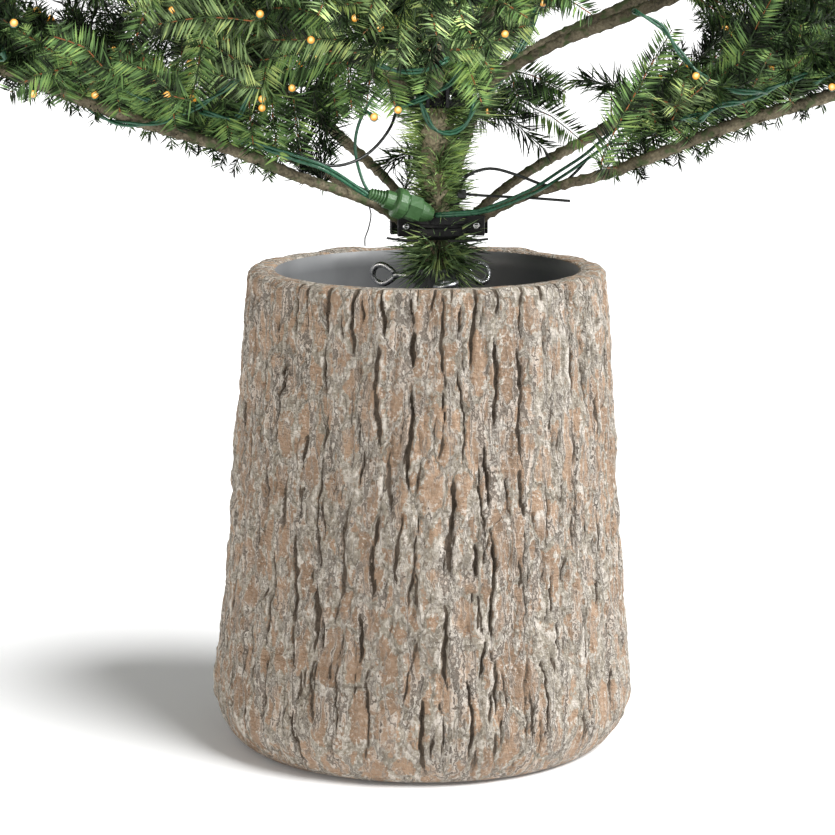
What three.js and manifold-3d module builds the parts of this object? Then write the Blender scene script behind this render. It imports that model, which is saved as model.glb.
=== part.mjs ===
// A pre-lit artificial Christmas tree that stands in a cast pot shaped like a bark-covered stump.
// A steel pole stands in a socket on the pot's floor and is held there by three eye bolts. Wire boughs
// spring from two collars low on the pole, and every bough ends in a mass of needle sprays. Higher up
// the masses spring from the pole itself. Bristly tinsel is wound round the foot of the pole.
// Sizes are in millimetres, +Z is up, and the origin is the middle of the pot's flat underside.
import * as THREE from "three";
import { mergeVertices } from "three/addons/utils/BufferGeometryUtils.js";
import Module from "manifold-3d";

const wasm = await Module();
wasm.setup();
const { Manifold, Mesh } = wasm;

// Driving dimensions
const clearance = 0.3; // left between pieces that touch
const pot = {
  height: 405,
  footRadius: 150,
  bulgeRadius: 178,
  bulgeHeight: 46,
  rimRadius: 150,
  rimEase: 5, // how far the rim's outer edge is rounded over
  wall: 21,
  floor: 40,
  lean: 4, // how far the rim's middle stands to the right of the foot's
  sides: 60,
  rows: 6,
  ridges: 15,
  relief: 2.2,
};
const pole = {
  offset: 14, // the pole stands this far to the right of the pot's middle
  radii: [13, 11, 9], // one for each of its three sections
  joints: [900, 1330], // where one section is pushed into the next
  foot: 325, // where it stands on the bottom of the socket's bore
  top: 1570,
  collarRadius: 30,
  collarHeight: 20,
  sides: 16,
};
const socket = { bore: 16.3, outside: 20, top: 408, flangeRadius: 45, flangeThickness: 6, sides: 16 };
const eyeBolt = {
  count: 3,
  firstAt: 157,
  height: 399,
  wire: 2.2,
  ring: 8.3,
  reaches: [53, 46, 45], // from the pole's middle to the middle of each ring
  turns: [85, 12, 70], // degrees each ring is turned out of the level
};
const tuft = { low: 411, high: 433, core: 18, needles: 28, length: 32, droop: 0.5 };
const sleeve = { low: 457, high: 542, core: 17, needles: 28, length: 20, droop: -0.35 };
const crown = { top: 1830, reach: 600, apex: 1865, settle: 50 };
const boughRadius = { hub: 6.5, tip: 5 };
const boughEnd = { low: 150, second: 110 };
const stem = { root: 6, tip: 4 };
const blade = { rib: 2.4, root: 1.7, notch: 0.34 };
const sprayTilt = 40; // degrees, so that the sprays on one side of a stem lie like shingles
const margin = 2.5; // kept by a mass from the edge of its own space
// How far the sprays that lean down sink below their bough. Those of the lowest tier rise instead, since
// its boughs are the crown's lower edge, and those of a mass with no bough beneath it hang the lowest.
const droop = { lowest: -0.45, nested: 0.7, free: 2 };
const openBelow = 45; // degrees to the nearest bough beneath, from which a mass hangs free

// The tiers from the lowest up: the height at which they leave the pole, the slope close to the pole and
// the slope further out, and the azimuths. The two lowest leave a gap where the light cables run down.
const even = (count, first) => Array.from({ length: count }, (_, i) => first + (360 / count) * i);
const tiers = [
  { name: "low", hub: 445, steep: 0.8, slope: 0.36, azimuths: [-11, 34, 80, 125, 168, 202], sprays: 7, teeth: 3 },
  { name: "second", hub: 554, steep: 0.8, slope: 0.38, azimuths: [-15, 20, 72, 124, 176, 222, 268], sprays: 7, teeth: 3 },
  { name: "third", hub: 690, steep: 0.8, slope: 0.42, azimuths: even(6, 12), sprays: 7, teeth: 3 },
  { name: "fourth", hub: 850, steep: 0.9, slope: 0.48, azimuths: even(5, 40), sprays: 7, teeth: 3 },
  { name: "fifth", hub: 1020, steep: 0.9, slope: 0.55, azimuths: even(5, 5), sprays: 7, teeth: 3 },
  { name: "sixth", hub: 1195, steep: 1, slope: 0.65, azimuths: even(5, 41), sprays: 7, teeth: 2 },
  { name: "seventh", hub: 1375, steep: 1.1, slope: 0.8, azimuths: even(4, 20), sprays: 6, teeth: 2 },
];
const leader = { hub: 1540, steep: 1.4, slope: 1.2, whorls: [1592, 1660], stagger: 13, sprays: 4, teeth: 2 };
const widestWedge = 32; // degrees either side of a bough, where its neighbours are further off

const colours = {
  bark: [0xa89684, 0.95, 0],
  steel: [0xb9bcc0, 0.3, 1],
  paintedSteel: [0x6f7478, 0.55, 0.4],
  poleTape: [0x4c5236, 0.8, 0],
  boughTape: [0x6b6248, 0.8, 0],
  needles: [0x3f6a3a, 0.7, 0],
  tinsel: [0x35542c, 0.7, 0],
};
const materials = Object.fromEntries(
  Object.entries(colours).map(([name, [color, roughness, metalness]]) => [
    name,
    new THREE.MeshStandardMaterial({ name, color, roughness, metalness, flatShading: true }),
  ]),
);

// A number from 0 to 1 that is the same each time for the same seed
function roll(seed) {
  const s = Math.sin(seed * 12.9898 + 4.1414) * 43758.5453;
  return s - Math.floor(s);
}
const outward = new THREE.Vector3(1, 0, 0);
const upward = new THREE.Vector3(0, 0, 1);
const radians = THREE.MathUtils.degToRad;
const lerp = THREE.MathUtils.lerp;

// A three.js geometry as a solid, with its shared vertices merged and its collapsed faces dropped
function solidOf(geometry) {
  const bare = new THREE.BufferGeometry().setAttribute("position", geometry.getAttribute("position"));
  bare.setIndex(geometry.index);
  const merged = mergeVertices(bare, 1e-3);
  const index = merged.index.array;
  const faces = [];
  for (let i = 0; i < index.length; i += 3) {
    const [a, b, c] = [index[i], index[i + 1], index[i + 2]];
    if (a !== b && b !== c && c !== a) faces.push(a, b, c);
  }
  const vertProperties = merged.attributes.position.array;
  return new Manifold(new Mesh({ numProp: 3, vertProperties, triVerts: new Uint32Array(faces) }));
}

// A solid as a three.js geometry, with edges too short to matter taken out
function geometryOf(solid) {
  const mesh = solid.simplify(0.02).getMesh();
  const geometry = new THREE.BufferGeometry();
  geometry.setAttribute("position", new THREE.BufferAttribute(new Float32Array(mesh.vertProperties), 3));
  geometry.setIndex(new THREE.BufferAttribute(new Uint32Array(mesh.triVerts), 1));
  geometry.computeVertexNormals();
  return geometry;
}

// One solid out of several that are sunk into each other; a scrap that hangs loose is dropped
function fuse(solids) {
  const bodies = Manifold.union(solids).decompose();
  bodies.sort((a, b) => b.volume() - a.volume());
  return bodies[0];
}

function namedMesh(name, geometry, material) {
  const mesh = new THREE.Mesh(geometry, material);
  mesh.name = name;
  return mesh;
}

// A profile of [radius, height] pairs turned round the Z axis
function turned(profile, sides) {
  const points = profile.map(([r, z]) => new THREE.Vector2(r, z));
  return new THREE.LatheGeometry(points, sides).rotateX(Math.PI / 2);
}

// A closed tapering tube along a list of points, with one radius for each point. Its rings are square to
// its own run, or to facing where that is given.
function limb(points, radii, sides, facing) {
  const position = [];
  const index = [];
  points.forEach((point, i) => {
    const ahead = points[Math.min(i + 1, points.length - 1)];
    const behind = points[Math.max(i - 1, 0)];
    const along = facing ? facing.clone() : ahead.clone().sub(behind).normalize();
    const side = upward.clone().cross(along);
    if (side.lengthSq() < 1e-6) side.copy(outward);
    side.normalize();
    const up = along.clone().cross(side);
    for (let k = 0; k < sides; k++) {
      const turn = (2 * Math.PI * (k + 0.5)) / sides;
      const spoke = side.clone().multiplyScalar(Math.cos(turn)).addScaledVector(up, Math.sin(turn));
      position.push(...point.clone().addScaledVector(spoke, radii[i]).toArray());
    }
  });
  for (let i = 0; i + 1 < points.length; i++) {
    for (let k = 0; k < sides; k++) {
      const a = i * sides + k;
      const b = i * sides + ((k + 1) % sides);
      index.push(a, b, b + sides, a, b + sides, a + sides);
    }
  }
  const last = (points.length - 1) * sides;
  for (let k = 1; k + 1 < sides; k++) {
    index.push(0, k + 1, k, last, last + k, last + k + 1);
  }
  const geometry = new THREE.BufferGeometry();
  geometry.setAttribute("position", new THREE.Float32BufferAttribute(position, 3));
  return geometry.setIndex(index);
}

// A three-sided spike: one needle, or a bundle of them
function spike(from, to, radius) {
  return limb([from, to], [radius, 0], 3);
}

// A spray of needles as a toothed blade, thickest along its rib. It leaves its root along direction, and
// its teeth spread to either side in the plane square to normal. The root is a short edge along normal.
function sprayPoints({ root, direction, normal, length, width, teeth }) {
  const across = normal.clone().cross(direction).normalize();
  const face = direction.clone().cross(across).normalize();
  const at = (u, v, w) =>
    root.clone().addScaledVector(direction, u * length).addScaledVector(across, v).addScaledVector(face, w);
  const pair = (u, w) => [at(u, 0, w), at(u, 0, -w)];
  const step = 1 / (teeth + 0.45);
  const spine = [pair(0, blade.root)];
  const edges = [[], []];
  for (let i = 0; i < teeth; i++) {
    const spread = (width / 2) * (1 - 0.55 * (i / teeth));
    edges.forEach((edge, k) => edge.push(at((i + 1) * step, (k ? -1 : 1) * spread, 0)));
    if (i + 1 === teeth) continue;
    const u = (i + 1.12) * step;
    edges.forEach((edge, k) => edge.push(at(u, (k ? -1 : 1) * spread * blade.notch, 0)));
    spine.push(pair(u, blade.rib * (1 - (0.5 * i) / teeth)));
  }
  return { spine, edges, tip: at(1, 0, 0) };
}

function spray({ spine, edges, tip }) {
  const position = [];
  const triangle = (a, b, c, flip) => {
    for (const p of flip ? [a, c, b] : [a, b, c]) position.push(p.x, p.y, p.z);
  };
  edges.forEach((edge, side) => {
    for (const face of [0, 1]) {
      const flip = side === face;
      spine.forEach((pair, i) => {
        const tooth = edge[2 * i];
        if (i > 0) triangle(pair[face], edge[2 * i - 1], tooth, flip);
        if (i + 1 === spine.length) return triangle(pair[face], tooth, tip, flip);
        const ahead = spine[i + 1][face];
        triangle(pair[face], tooth, ahead, flip);
        triangle(ahead, tooth, edge[2 * i + 1], flip);
      });
    }
  });
  triangle(spine[0][0], spine[0][1], edges[1][0], false);
  triangle(spine[0][0], edges[0][0], spine[0][1], false);
  const geometry = new THREE.BufferGeometry();
  return geometry.setAttribute("position", new THREE.Float32BufferAttribute(position, 3));
}

// How far out a point of the pot's outer face lies at a height, before the bark's ridges
function potRadius(z) {
  const { bulgeHeight, bulgeRadius, footRadius, rimRadius, height } = pot;
  if (z < bulgeHeight) {
    const t = 1 - z / bulgeHeight;
    return footRadius + (bulgeRadius - footRadius) * Math.sqrt(1 - t * t);
  }
  return lerp(bulgeRadius, rimRadius, ((z - bulgeHeight) / (height - bulgeHeight)) ** 0.92);
}

// The bark's upright ridges, which wander a little from side to side on their way up
function barkRelief(turn, z) {
  const wander = 0.9 * Math.sin(z / 61) + 0.6 * Math.sin(z / 27 + 2 * turn);
  const ridge = Math.sin(pot.ridges * turn + wander);
  const knot = 0.6 * Math.sin(7 * turn + z / 90);
  return pot.relief * (ridge + knot);
}

function makePot() {
  const { height, footRadius, bulgeHeight, rimEase, wall, floor, rows, relief } = pot;
  const profile = [[0, 0], [footRadius, 0]];
  for (const share of [0.12, 0.4, 1]) profile.push([potRadius(bulgeHeight * share), bulgeHeight * share]);
  for (let i = 1; i <= rows; i++) {
    const z = lerp(bulgeHeight, height - rimEase, i / rows);
    profile.push([potRadius(z), z]);
  }
  profile.push([potRadius(height) - rimEase, height]);
  const inside = (z) => [potRadius(z) - wall, z];
  profile.push(inside(height), inside(height / 2), inside(floor + wall));
  profile.push([potRadius(floor) - 2 * wall, floor], [0, floor]);
  const geometry = turned(profile, pot.sides);
  const position = geometry.getAttribute("position");
  for (let i = 0; i < position.count; i++) {
    const [x, y, z] = [position.getX(i), position.getY(i), position.getZ(i)];
    const r = Math.hypot(x, y);
    const turn = Math.atan2(y, x);
    const onBark = z > 1 && r > potRadius(z) - 0.75 * wall;
    const grown = onBark ? r + barkRelief(turn, z) * Math.min(1, z / bulgeHeight) - relief / 2 : r;
    const scale = r > 0 ? grown / r : 1;
    position.setXYZ(i, x * scale + pot.lean * (z / height), y * scale, z);
  }
  return namedMesh("pot", geometryOf(solidOf(geometry)), materials.bark);
}

const boltTurn = (i) => radians(eyeBolt.firstAt + (360 / eyeBolt.count) * i);

function makeSocket() {
  const { bore, outside, top, flangeRadius, flangeThickness } = socket;
  const foot = pot.floor + clearance;
  const seat = pole.foot - clearance;
  const profile = [
    [0, foot],
    [flangeRadius, foot],
    [flangeRadius, foot + flangeThickness],
    [outside, foot + flangeThickness],
    [outside, top],
    [bore, top],
    [bore, seat],
    [0, seat],
  ];
  let solid = solidOf(turned(profile, socket.sides));
  for (let i = 0; i < eyeBolt.count; i++) {
    const hole = new THREE.CylinderGeometry(eyeBolt.wire + clearance, eyeBolt.wire + clearance, outside, 8);
    hole.rotateZ(Math.PI / 2).translate(outside / 2 + bore / 2, 0, eyeBolt.height).rotateZ(boltTurn(i));
    solid = solid.subtract(solidOf(hole));
  }
  return namedMesh("stand_socket", geometryOf(solid), materials.paintedSteel);
}

// A bolt whose tip bears on the pole and whose far end is bent into a ring
function makeEyeBolt(i) {
  const { wire, ring, height, turns } = eyeBolt;
  const reach = eyeBolt.reaches[i];
  const start = pole.radii[0] + clearance;
  const end = reach - ring;
  const shaft = new THREE.CylinderGeometry(wire, wire, end - start, 8);
  shaft.rotateZ(Math.PI / 2).translate((start + end) / 2, 0, 0);
  const eye = new THREE.TorusGeometry(ring, wire, 6, 12).rotateX(radians(turns[i])).translate(reach, 0, 0);
  const mesh = namedMesh(`eye_bolt_${i + 1}`, geometryOf(fuse([solidOf(shaft), solidOf(eye)])), materials.steel);
  mesh.rotation.z = boltTurn(i);
  mesh.position.z = height;
  return mesh;
}

function makePole() {
  const { radii, joints, foot, top, collarRadius, collarHeight } = pole;
  const profile = [[0, foot], [radii[0], foot]];
  for (const tier of tiers.slice(0, 2)) {
    const [low, high] = [tier.hub - collarHeight / 2, tier.hub + collarHeight / 2];
    profile.push([radii[0], low], [collarRadius, low], [collarRadius, high], [radii[0], high]);
  }
  joints.forEach((z, i) => profile.push([radii[i], z], [radii[i + 1], z]));
  profile.push([radii[2], top], [0, top]);
  return namedMesh("trunk_pole", geometryOf(solidOf(turned(profile, pole.sides))), materials.poleTape);
}

// Tinsel wound round the pole: a ring that clears it, with needles standing out of the ring
function makeTinsel(name, { low, high, core, needles, length, droop }, seed) {
  const bore = pole.radii[0] + clearance;
  const profile = [[bore, low], [core, low], [core, high], [bore, high], [bore, low]];
  const solids = [solidOf(turned(profile, pole.sides))];
  for (let i = 0; i < needles; i++) {
    const turn = i * radians(137.5);
    const z = lerp(low + 4, high - 4, roll(seed + i));
    const away = new THREE.Vector3(Math.cos(turn), Math.sin(turn), 0);
    const from = away.clone().multiplyScalar(core - 1.2).setZ(z);
    const reach = length * (0.75 + 0.35 * roll(seed + 50 + i));
    const along = away.setZ(-droop * (0.6 + 0.8 * roll(seed + 90 + i))).normalize();
    const to = from.clone().addScaledVector(along, reach);
    if (nearBolt(turn) && to.z < eyeBolt.height + eyeBolt.ring + 5) continue;
    solids.push(solidOf(spike(from, to, 1.9)));
  }
  return namedMesh(name, geometryOf(fuse(solids)), materials.tinsel);
}

function nearBolt(turn) {
  for (let i = 0; i < eyeBolt.count; i++) {
    if (Math.cos(turn - boltTurn(i)) > Math.cos(radians(28))) return true;
  }
  return false;
}

// How far from the pole's middle a tier's limbs begin: at its collar, or at the pole itself
function rootRadius(tier) {
  const section = pole.joints.filter((joint) => tier.hub > joint).length;
  return (boughEnd[tier.name] ? pole.collarRadius : pole.radii[section]) + clearance;
}

// The height of a tier's limbs above its own hub. They are steep at first and then settle.
function lineOf(tier) {
  const root = rootRadius(tier);
  const extra = (tier.steep - tier.slope) * crown.settle;
  return (r) => tier.slope * (r - root) + extra * (1 - Math.exp((root - r) / crown.settle));
}

// The crown is a cone whose widest ring is at the tips of the lowest boughs
const widestAt = tiers[0].hub + lineOf(tiers[0])(crown.reach);
const coneRadius = (z) => (crown.reach * (crown.apex - z)) / (crown.apex - widestAt);

function reachOf(tier) {
  let r = crown.reach / 2;
  for (let i = 0; i < 40; i++) r = 0.5 * r + 0.5 * coneRadius(tier.hub + lineOf(tier)(r));
  return r;
}

// Whether the tier beneath has no bough near this azimuth
function hangsFree(tierIndex, azimuth) {
  const angleTo = (other) => Math.abs(((other - azimuth + 540) % 360) - 180);
  return tierIndex > 0 && tiers[tierIndex - 1].azimuths.every((other) => angleTo(other) > openBelow);
}

// Whether a point, given in a mass's own frame, keeps to the mass's own space
function spaceOf(tierIndex, wedge, free) {
  const tier = tierIndex < tiers.length ? tiers[tierIndex] : leader;
  const above = tierIndex + 1 < tiers.length ? tiers[tierIndex + 1] : leader;
  const below = tierIndex > 0 && !free ? tiers[tierIndex - 1] : null;
  const mid = (other, r) => (tier.hub + lineOf(tier)(r) + other.hub + lineOf(other)(r)) / 2 - tier.hub;
  return (p) => {
    const r = Math.hypot(p.x, p.y);
    const turn = Math.atan2(p.y, p.x);
    const inWedge = !wedge || (turn * r < wedge.left * r - margin && turn * r > -wedge.right * r + margin);
    const underTop = above === tier || p.z < mid(above, r) - margin;
    const overFloor = !below || p.z > mid(below, r) + margin;
    const topped = p.z + tier.hub < crown.top && r < coneRadius(p.z + tier.hub) + 14;
    return inWedge && underTop && overFloor && topped;
  };
}

// A spray that fits its space, shortened if need be, or nothing
function fittedSpray(shape, inSpace, shortest) {
  for (let length = shape.length; length >= shortest; length *= 0.9) {
    const points = sprayPoints({ ...shape, length, width: shape.width * Math.sqrt(length / shape.length) });
    if ([...points.edges.flat(), points.tip].every(inSpace)) return solidOf(spray(points));
  }
  return null;
}

// A mass of sprays along one stem that runs out along +X from start. Sprays leave the stem to the left
// and right by turns, and lean up and down by turns.
function makeMass({ tierIndex, start, wedge, free, seed }) {
  const tier = tiers[tierIndex];
  const line = lineOf(tier);
  const reach = reachOf(tier);
  const inSpace = spaceOf(tierIndex, wedge, free);
  const sinking = free ? droop.free : tierIndex ? droop.nested : droop.lowest;
  const stemEnd = reach * 0.86;
  const pointAt = (r) => new THREE.Vector3(r, 0, line(r));
  const steps = 4;
  const path = Array.from({ length: steps + 1 }, (_, i) => pointAt(lerp(start, stemEnd, i / steps)));
  const radii = path.map((_, i) => lerp(stem.root, stem.tip, i / steps));
  const solids = [solidOf(limb(path, radii, 4, outward))];
  const longest = reach * 0.42 + 20;
  const sideSprays = tier.sprays - 1;
  for (let i = 0; i < sideSprays; i++) {
    const t = (i + 0.3 + 0.4 * roll(seed + i)) / sideSprays;
    const r = lerp(start + 14, stemEnd - 0.2 * longest, t);
    const side = i % 2 ? 1 : -1;
    const swing = side * radians(lerp(58, 34, t) + 8 * (roll(seed + 20 + i) - 0.5));
    const lift = ((i >> 1) % 2 ? 1 : -sinking) * (0.22 + 0.2 * roll(seed + 40 + i));
    const ahead = pointAt(r + 1).sub(pointAt(r)).normalize();
    const direction = ahead.applyAxisAngle(upward, swing);
    direction.z += lift;
    direction.normalize();
    const tilt = radians(sprayTilt + 20 * (roll(seed + 60 + i) - 0.5));
    const normal = upward.clone().applyAxisAngle(direction, side * tilt);
    const length = longest * (1 - 0.45 * t) * (0.9 + 0.2 * roll(seed + 80 + i));
    const shape = { root: pointAt(r), direction, normal, length, width: length * 0.52, teeth: tier.teeth };
    const made = fittedSpray(shape, inSpace, longest * 0.25);
    if (made) solids.push(made);
  }
  const root = pointAt(stemEnd - 8);
  const direction = pointAt(stemEnd + 1).sub(pointAt(stemEnd)).normalize();
  const length = (reach - stemEnd + 8) / direction.x;
  const normal = new THREE.Vector3(0, 0.5, 1).normalize();
  const end = { root, direction, normal, length, width: length * 0.8 + 20, teeth: tier.teeth };
  solids.push(fittedSpray(end, inSpace, length * 0.3));
  return geometryOf(fuse(solids.filter(Boolean)));
}

// The leader: an upright stem on top of the pole, with two whorls of sprays and one that points straight up
function makeTop(seed) {
  const inSpace = spaceOf(tiers.length, null, false);
  const local = (z) => z - leader.hub;
  const foot = new THREE.Vector3(0, 0, local(pole.top + clearance));
  const tip = new THREE.Vector3(0, 0, local(crown.top - 70));
  const solids = [solidOf(limb([foot, tip], [stem.root, stem.tip], 4))];
  leader.whorls.forEach((z, row) => {
    for (let i = 0; i < leader.sprays; i++) {
      const turn = radians((360 / leader.sprays) * (i + 0.5 * row));
      const rise = 0.9 + 0.5 * row + 0.3 * roll(seed + 10 * row + i);
      const direction = new THREE.Vector3(Math.cos(turn), Math.sin(turn), rise).normalize();
      const across = new THREE.Vector3(-Math.sin(turn), Math.cos(turn), 0);
      const normal = direction.clone().cross(across);
      const length = 118 - 30 * row;
      const root = new THREE.Vector3(0, 0, local(z + leader.stagger * i));
      const shape = { root, direction, normal, length, width: length * 0.5, teeth: leader.teeth };
      solids.push(fittedSpray(shape, inSpace, length * 0.4));
    }
  });
  const root = new THREE.Vector3(0, 0, local(crown.top - 100));
  const shape = { root, direction: upward, normal: outward, length: 99, width: 46, teeth: 3 };
  solids.push(solidOf(spray(sprayPoints(shape))));
  return geometryOf(fuse(solids.filter(Boolean)));
}

// A bare bough from its collar to the place where it enters its mass
function makeBough(tier, end) {
  const line = lineOf(tier);
  const start = rootRadius(tier);
  const steps = 4;
  const radii = Array.from({ length: steps + 1 }, (_, i) => lerp(boughRadius.hub, boughRadius.tip, i / steps));
  const path = radii.map((_, i) => {
    const r = lerp(start, end, i / steps);
    return new THREE.Vector3(r, 0, line(r));
  });
  return geometryOf(solidOf(limb(path, radii, 6, outward)));
}

// Half of the angle to the next bough on either side
function wedgesOf(azimuths) {
  const count = azimuths.length;
  return azimuths.map((own, i) => {
    const next = azimuths[(i + 1) % count] + (i + 1 === count ? 360 : 0);
    const last = azimuths[(i + count - 1) % count] - (i === 0 ? 360 : 0);
    return {
      left: radians(Math.min(widestWedge, (next - own) / 2)),
      right: radians(Math.min(widestWedge, (own - last) / 2)),
    };
  });
}

const crownGroup = new THREE.Group();
crownGroup.position.x = pole.offset;
for (let i = 0; i < eyeBolt.count; i++) crownGroup.add(makeEyeBolt(i));
crownGroup.add(makeSocket());
crownGroup.add(makePole());
crownGroup.add(makeTinsel("trunk_tuft", tuft, 700));
crownGroup.add(makeTinsel("trunk_tinsel", sleeve, 800));

tiers.forEach((tier, tierIndex) => {
  const tierGroup = new THREE.Group();
  tierGroup.position.z = tier.hub;
  const wedges = wedgesOf(tier.azimuths);
  const end = boughEnd[tier.name];
  tier.azimuths.forEach((azimuth, i) => {
    const turn = radians(azimuth);
    const start = end ? end + clearance : rootRadius(tier);
    const free = hangsFree(tierIndex, azimuth);
    const geometry = makeMass({ tierIndex, start, wedge: wedges[i], free, seed: 100 * tierIndex + 13 * i });
    const mass = namedMesh(`${tier.name}_foliage_${i + 1}`, geometry, materials.needles);
    mass.rotation.z = turn;
    tierGroup.add(mass);
    if (end) {
      const bough = namedMesh(`${tier.name}_bough_${i + 1}`, makeBough(tier, end), materials.boughTape);
      bough.rotation.z = turn;
      tierGroup.add(bough);
    }
  });
  crownGroup.add(tierGroup);
});
const top = namedMesh("top_foliage", makeTop(900), materials.needles);
top.position.z = leader.hub;
crownGroup.add(top);

const tree = new THREE.Group();
tree.add(makePot());
tree.add(crownGroup);

export default tree;
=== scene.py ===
from collections import namedtuple
from math import atan2, cos, exp, hypot, pi, radians, sin, sqrt

import bpy
import numpy as np
from mathutils import Matrix, Vector


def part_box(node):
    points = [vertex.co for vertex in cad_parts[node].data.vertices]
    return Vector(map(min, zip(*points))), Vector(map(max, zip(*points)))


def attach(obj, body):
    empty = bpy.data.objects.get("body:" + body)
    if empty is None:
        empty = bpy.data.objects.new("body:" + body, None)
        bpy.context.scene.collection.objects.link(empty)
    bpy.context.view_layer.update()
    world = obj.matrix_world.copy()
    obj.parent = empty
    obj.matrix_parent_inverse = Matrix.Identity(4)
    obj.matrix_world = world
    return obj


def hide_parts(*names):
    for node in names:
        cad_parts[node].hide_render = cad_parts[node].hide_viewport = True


bl_info = {
    "name": "Potted Christmas Tree",
    "version": (1, 0, 0),
    "blender": (4, 5, 0),
    "location": "3D View > Sidebar > Tree",
    "description": "Dresses a pre-lit artificial Christmas tree and the bark pot that it stands in",
    "category": "Add Mesh",
}

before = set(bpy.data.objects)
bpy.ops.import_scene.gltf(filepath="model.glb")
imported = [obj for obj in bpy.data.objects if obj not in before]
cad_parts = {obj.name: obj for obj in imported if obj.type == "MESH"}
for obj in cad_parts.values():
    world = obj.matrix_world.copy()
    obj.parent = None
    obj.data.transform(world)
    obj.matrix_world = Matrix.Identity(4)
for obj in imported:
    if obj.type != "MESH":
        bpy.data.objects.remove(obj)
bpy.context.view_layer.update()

# Layout of the tree, in metres and degrees, as its solids have it
POLE_X = 0.014
POLE_RADII = (0.013, 0.011, 0.009)
POLE_JOINTS = (0.9, 1.33)
POLE_FOOT = 0.325
POLE_TOP = 1.57
COLLAR_RADIUS = 0.03
COLLAR_HEIGHT = 0.02
CLEARANCE = 0.0003
CROWN_TOP = 1.83
CROWN_REACH = 0.6
CROWN_APEX = 1.865
CROWN_SETTLE = 0.05
SPRAY_TILT = 40
STEM_SHARE = 0.86
SPACE_MARGIN = 0.0025
WIDEST_WEDGE = 32
DROOP_LOWEST = -0.45
DROOP_NESTED = 0.7
DROOP_FREE = 2
OPEN_BELOW = 45

Tier = namedtuple("Tier", "name hub steep slope azimuths sprays teeth bough_end")


def even(count, first):
    """Azimuths spread evenly round the pole"""
    return [first + 360 / count * i for i in range(count)]


TIERS = [
    Tier("low", 0.445, 0.8, 0.36, [-11, 34, 80, 125, 168, 202], 7, 3, 0.15),
    Tier("second", 0.554, 0.8, 0.38, [-15, 20, 72, 124, 176, 222, 268], 7, 3, 0.11),
    Tier("third", 0.69, 0.8, 0.42, even(6, 12), 7, 3, None),
    Tier("fourth", 0.85, 0.9, 0.48, even(5, 40), 7, 3, None),
    Tier("fifth", 1.02, 0.9, 0.55, even(5, 5), 7, 3, None),
    Tier("sixth", 1.195, 1.0, 0.65, even(5, 41), 7, 2, None),
    Tier("seventh", 1.375, 1.1, 0.8, even(4, 20), 6, 2, None),
]
LEADER = Tier("top", 1.54, 1.4, 1.2, [], 4, 2, None)
LEADER_WHORLS = (1.592, 1.66)
NECK_WHORLS = (1.49, 1.535, 1.62)
LEADER_STAGGER = 0.013

# The needle pieces are joined by bands of tiers, so that each stays a manageable size
BAND_OF_TIER = {
    "low": "low", "second": "second", "third": "middle", "fourth": "middle",
    "fifth": "high", "sixth": "high", "seventh": "high", "top": "high",
}
BANDS = ("low", "second", "middle", "high")
UP = Vector((0, 0, 1))

# The camera that the photograph's own perspective gives
CAMERA_PLACE = Vector((-0.0041, -2.36, 0.722))
CAMERA_PITCH = radians(10.66)
PHOTO_SIDE = 835
FOCAL_PIXELS = 2800
SENSOR_WIDTH = 36
AHEAD = (0, cos(CAMERA_PITCH), -sin(CAMERA_PITCH))
ABOVE = (0, sin(CAMERA_PITCH), cos(CAMERA_PITCH))


# Small sums

def roll(seed):
    """A number from 0 to 1 that is the same each time for the same seed"""
    return sin(seed * 12.9898 + 4.1414) * 43758.5453 % 1.0


def lerp(a, b, t):
    return a + (b - a) * t


def smooth(t):
    t = np.clip(t, 0, 1)
    return t * t * (3 - 2 * t)


def at_pole(z, turn=0.0):
    """The frame of what springs from the pole at a height, with its X pointing out at a turn"""
    return Matrix.Translation((POLE_X, 0, z)) @ Matrix.Rotation(turn, 4, "Z")


def turned_about(vector, axis, angle):
    return Matrix.Rotation(angle, 3, axis) @ vector


def seen_at(u, v, y):
    """The point at depth y that shows at pixel (u, v) of the photograph"""
    across, up = (u - PHOTO_SIDE / 2) / FOCAL_PIXELS, (PHOTO_SIDE / 2 - v) / FOCAL_PIXELS
    ray = Vector(AHEAD) + Vector((1, 0, 0)) * across + Vector(ABOVE) * up
    return CAMERA_PLACE + ray * ((y - CAMERA_PLACE.y) / ray.y)


def places_seen(route):
    """Places given by their pixels and their depth in millimetres"""
    return [seen_at(u, v, depth / 1000) for u, v, depth in route]


def pixels_of(points):
    """Where points show in the photograph, and how far off they are"""
    offset = points - np.array(CAMERA_PLACE)
    depth = offset @ np.array(AHEAD)
    u = PHOTO_SIDE / 2 + FOCAL_PIXELS * offset[:, 0] / depth
    v = PHOTO_SIDE / 2 - FOCAL_PIXELS * (offset @ np.array(ABOVE)) / depth
    return u, v, depth


def smooth_path(points, step):
    """A curve through the points, with a point about every step along it"""
    points = [Vector(p) for p in points]
    padded = [2 * points[0] - points[1]] + points + [2 * points[-1] - points[-2]]
    path = []
    for a, b, c, d in zip(padded, padded[1:], padded[2:], padded[3:]):
        count = max(2, int((c - b).length / step))
        for i in range(count):
            t = i / count
            path.append(0.5 * (2 * b + (c - a) * t + (2 * a - 5 * b + 4 * c - d) * t * t
                               + (3 * b - a - 3 * c + d) * t ** 3))
    path.append(points[-1])
    return path


def frames_along(path):
    """For each point of a path: itself, two sides square to its direction that don't twist about the path,
    and how far along the path it lies"""
    aheads = [(after - before).normalized() for before, after in zip(path[:1] + path, path[1:] + path[-1:])]
    side = aheads[0].orthogonal().normalized()
    travelled, frames = 0.0, []
    for last, point, ahead in zip(path[:1] + path, path, aheads):
        side = (side - ahead * side.dot(ahead)).normalized()
        travelled += (point - last).length
        frames.append((point, side, ahead.cross(side), travelled))
    return frames


# The rule by which the crown grows, as the solids follow it

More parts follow.
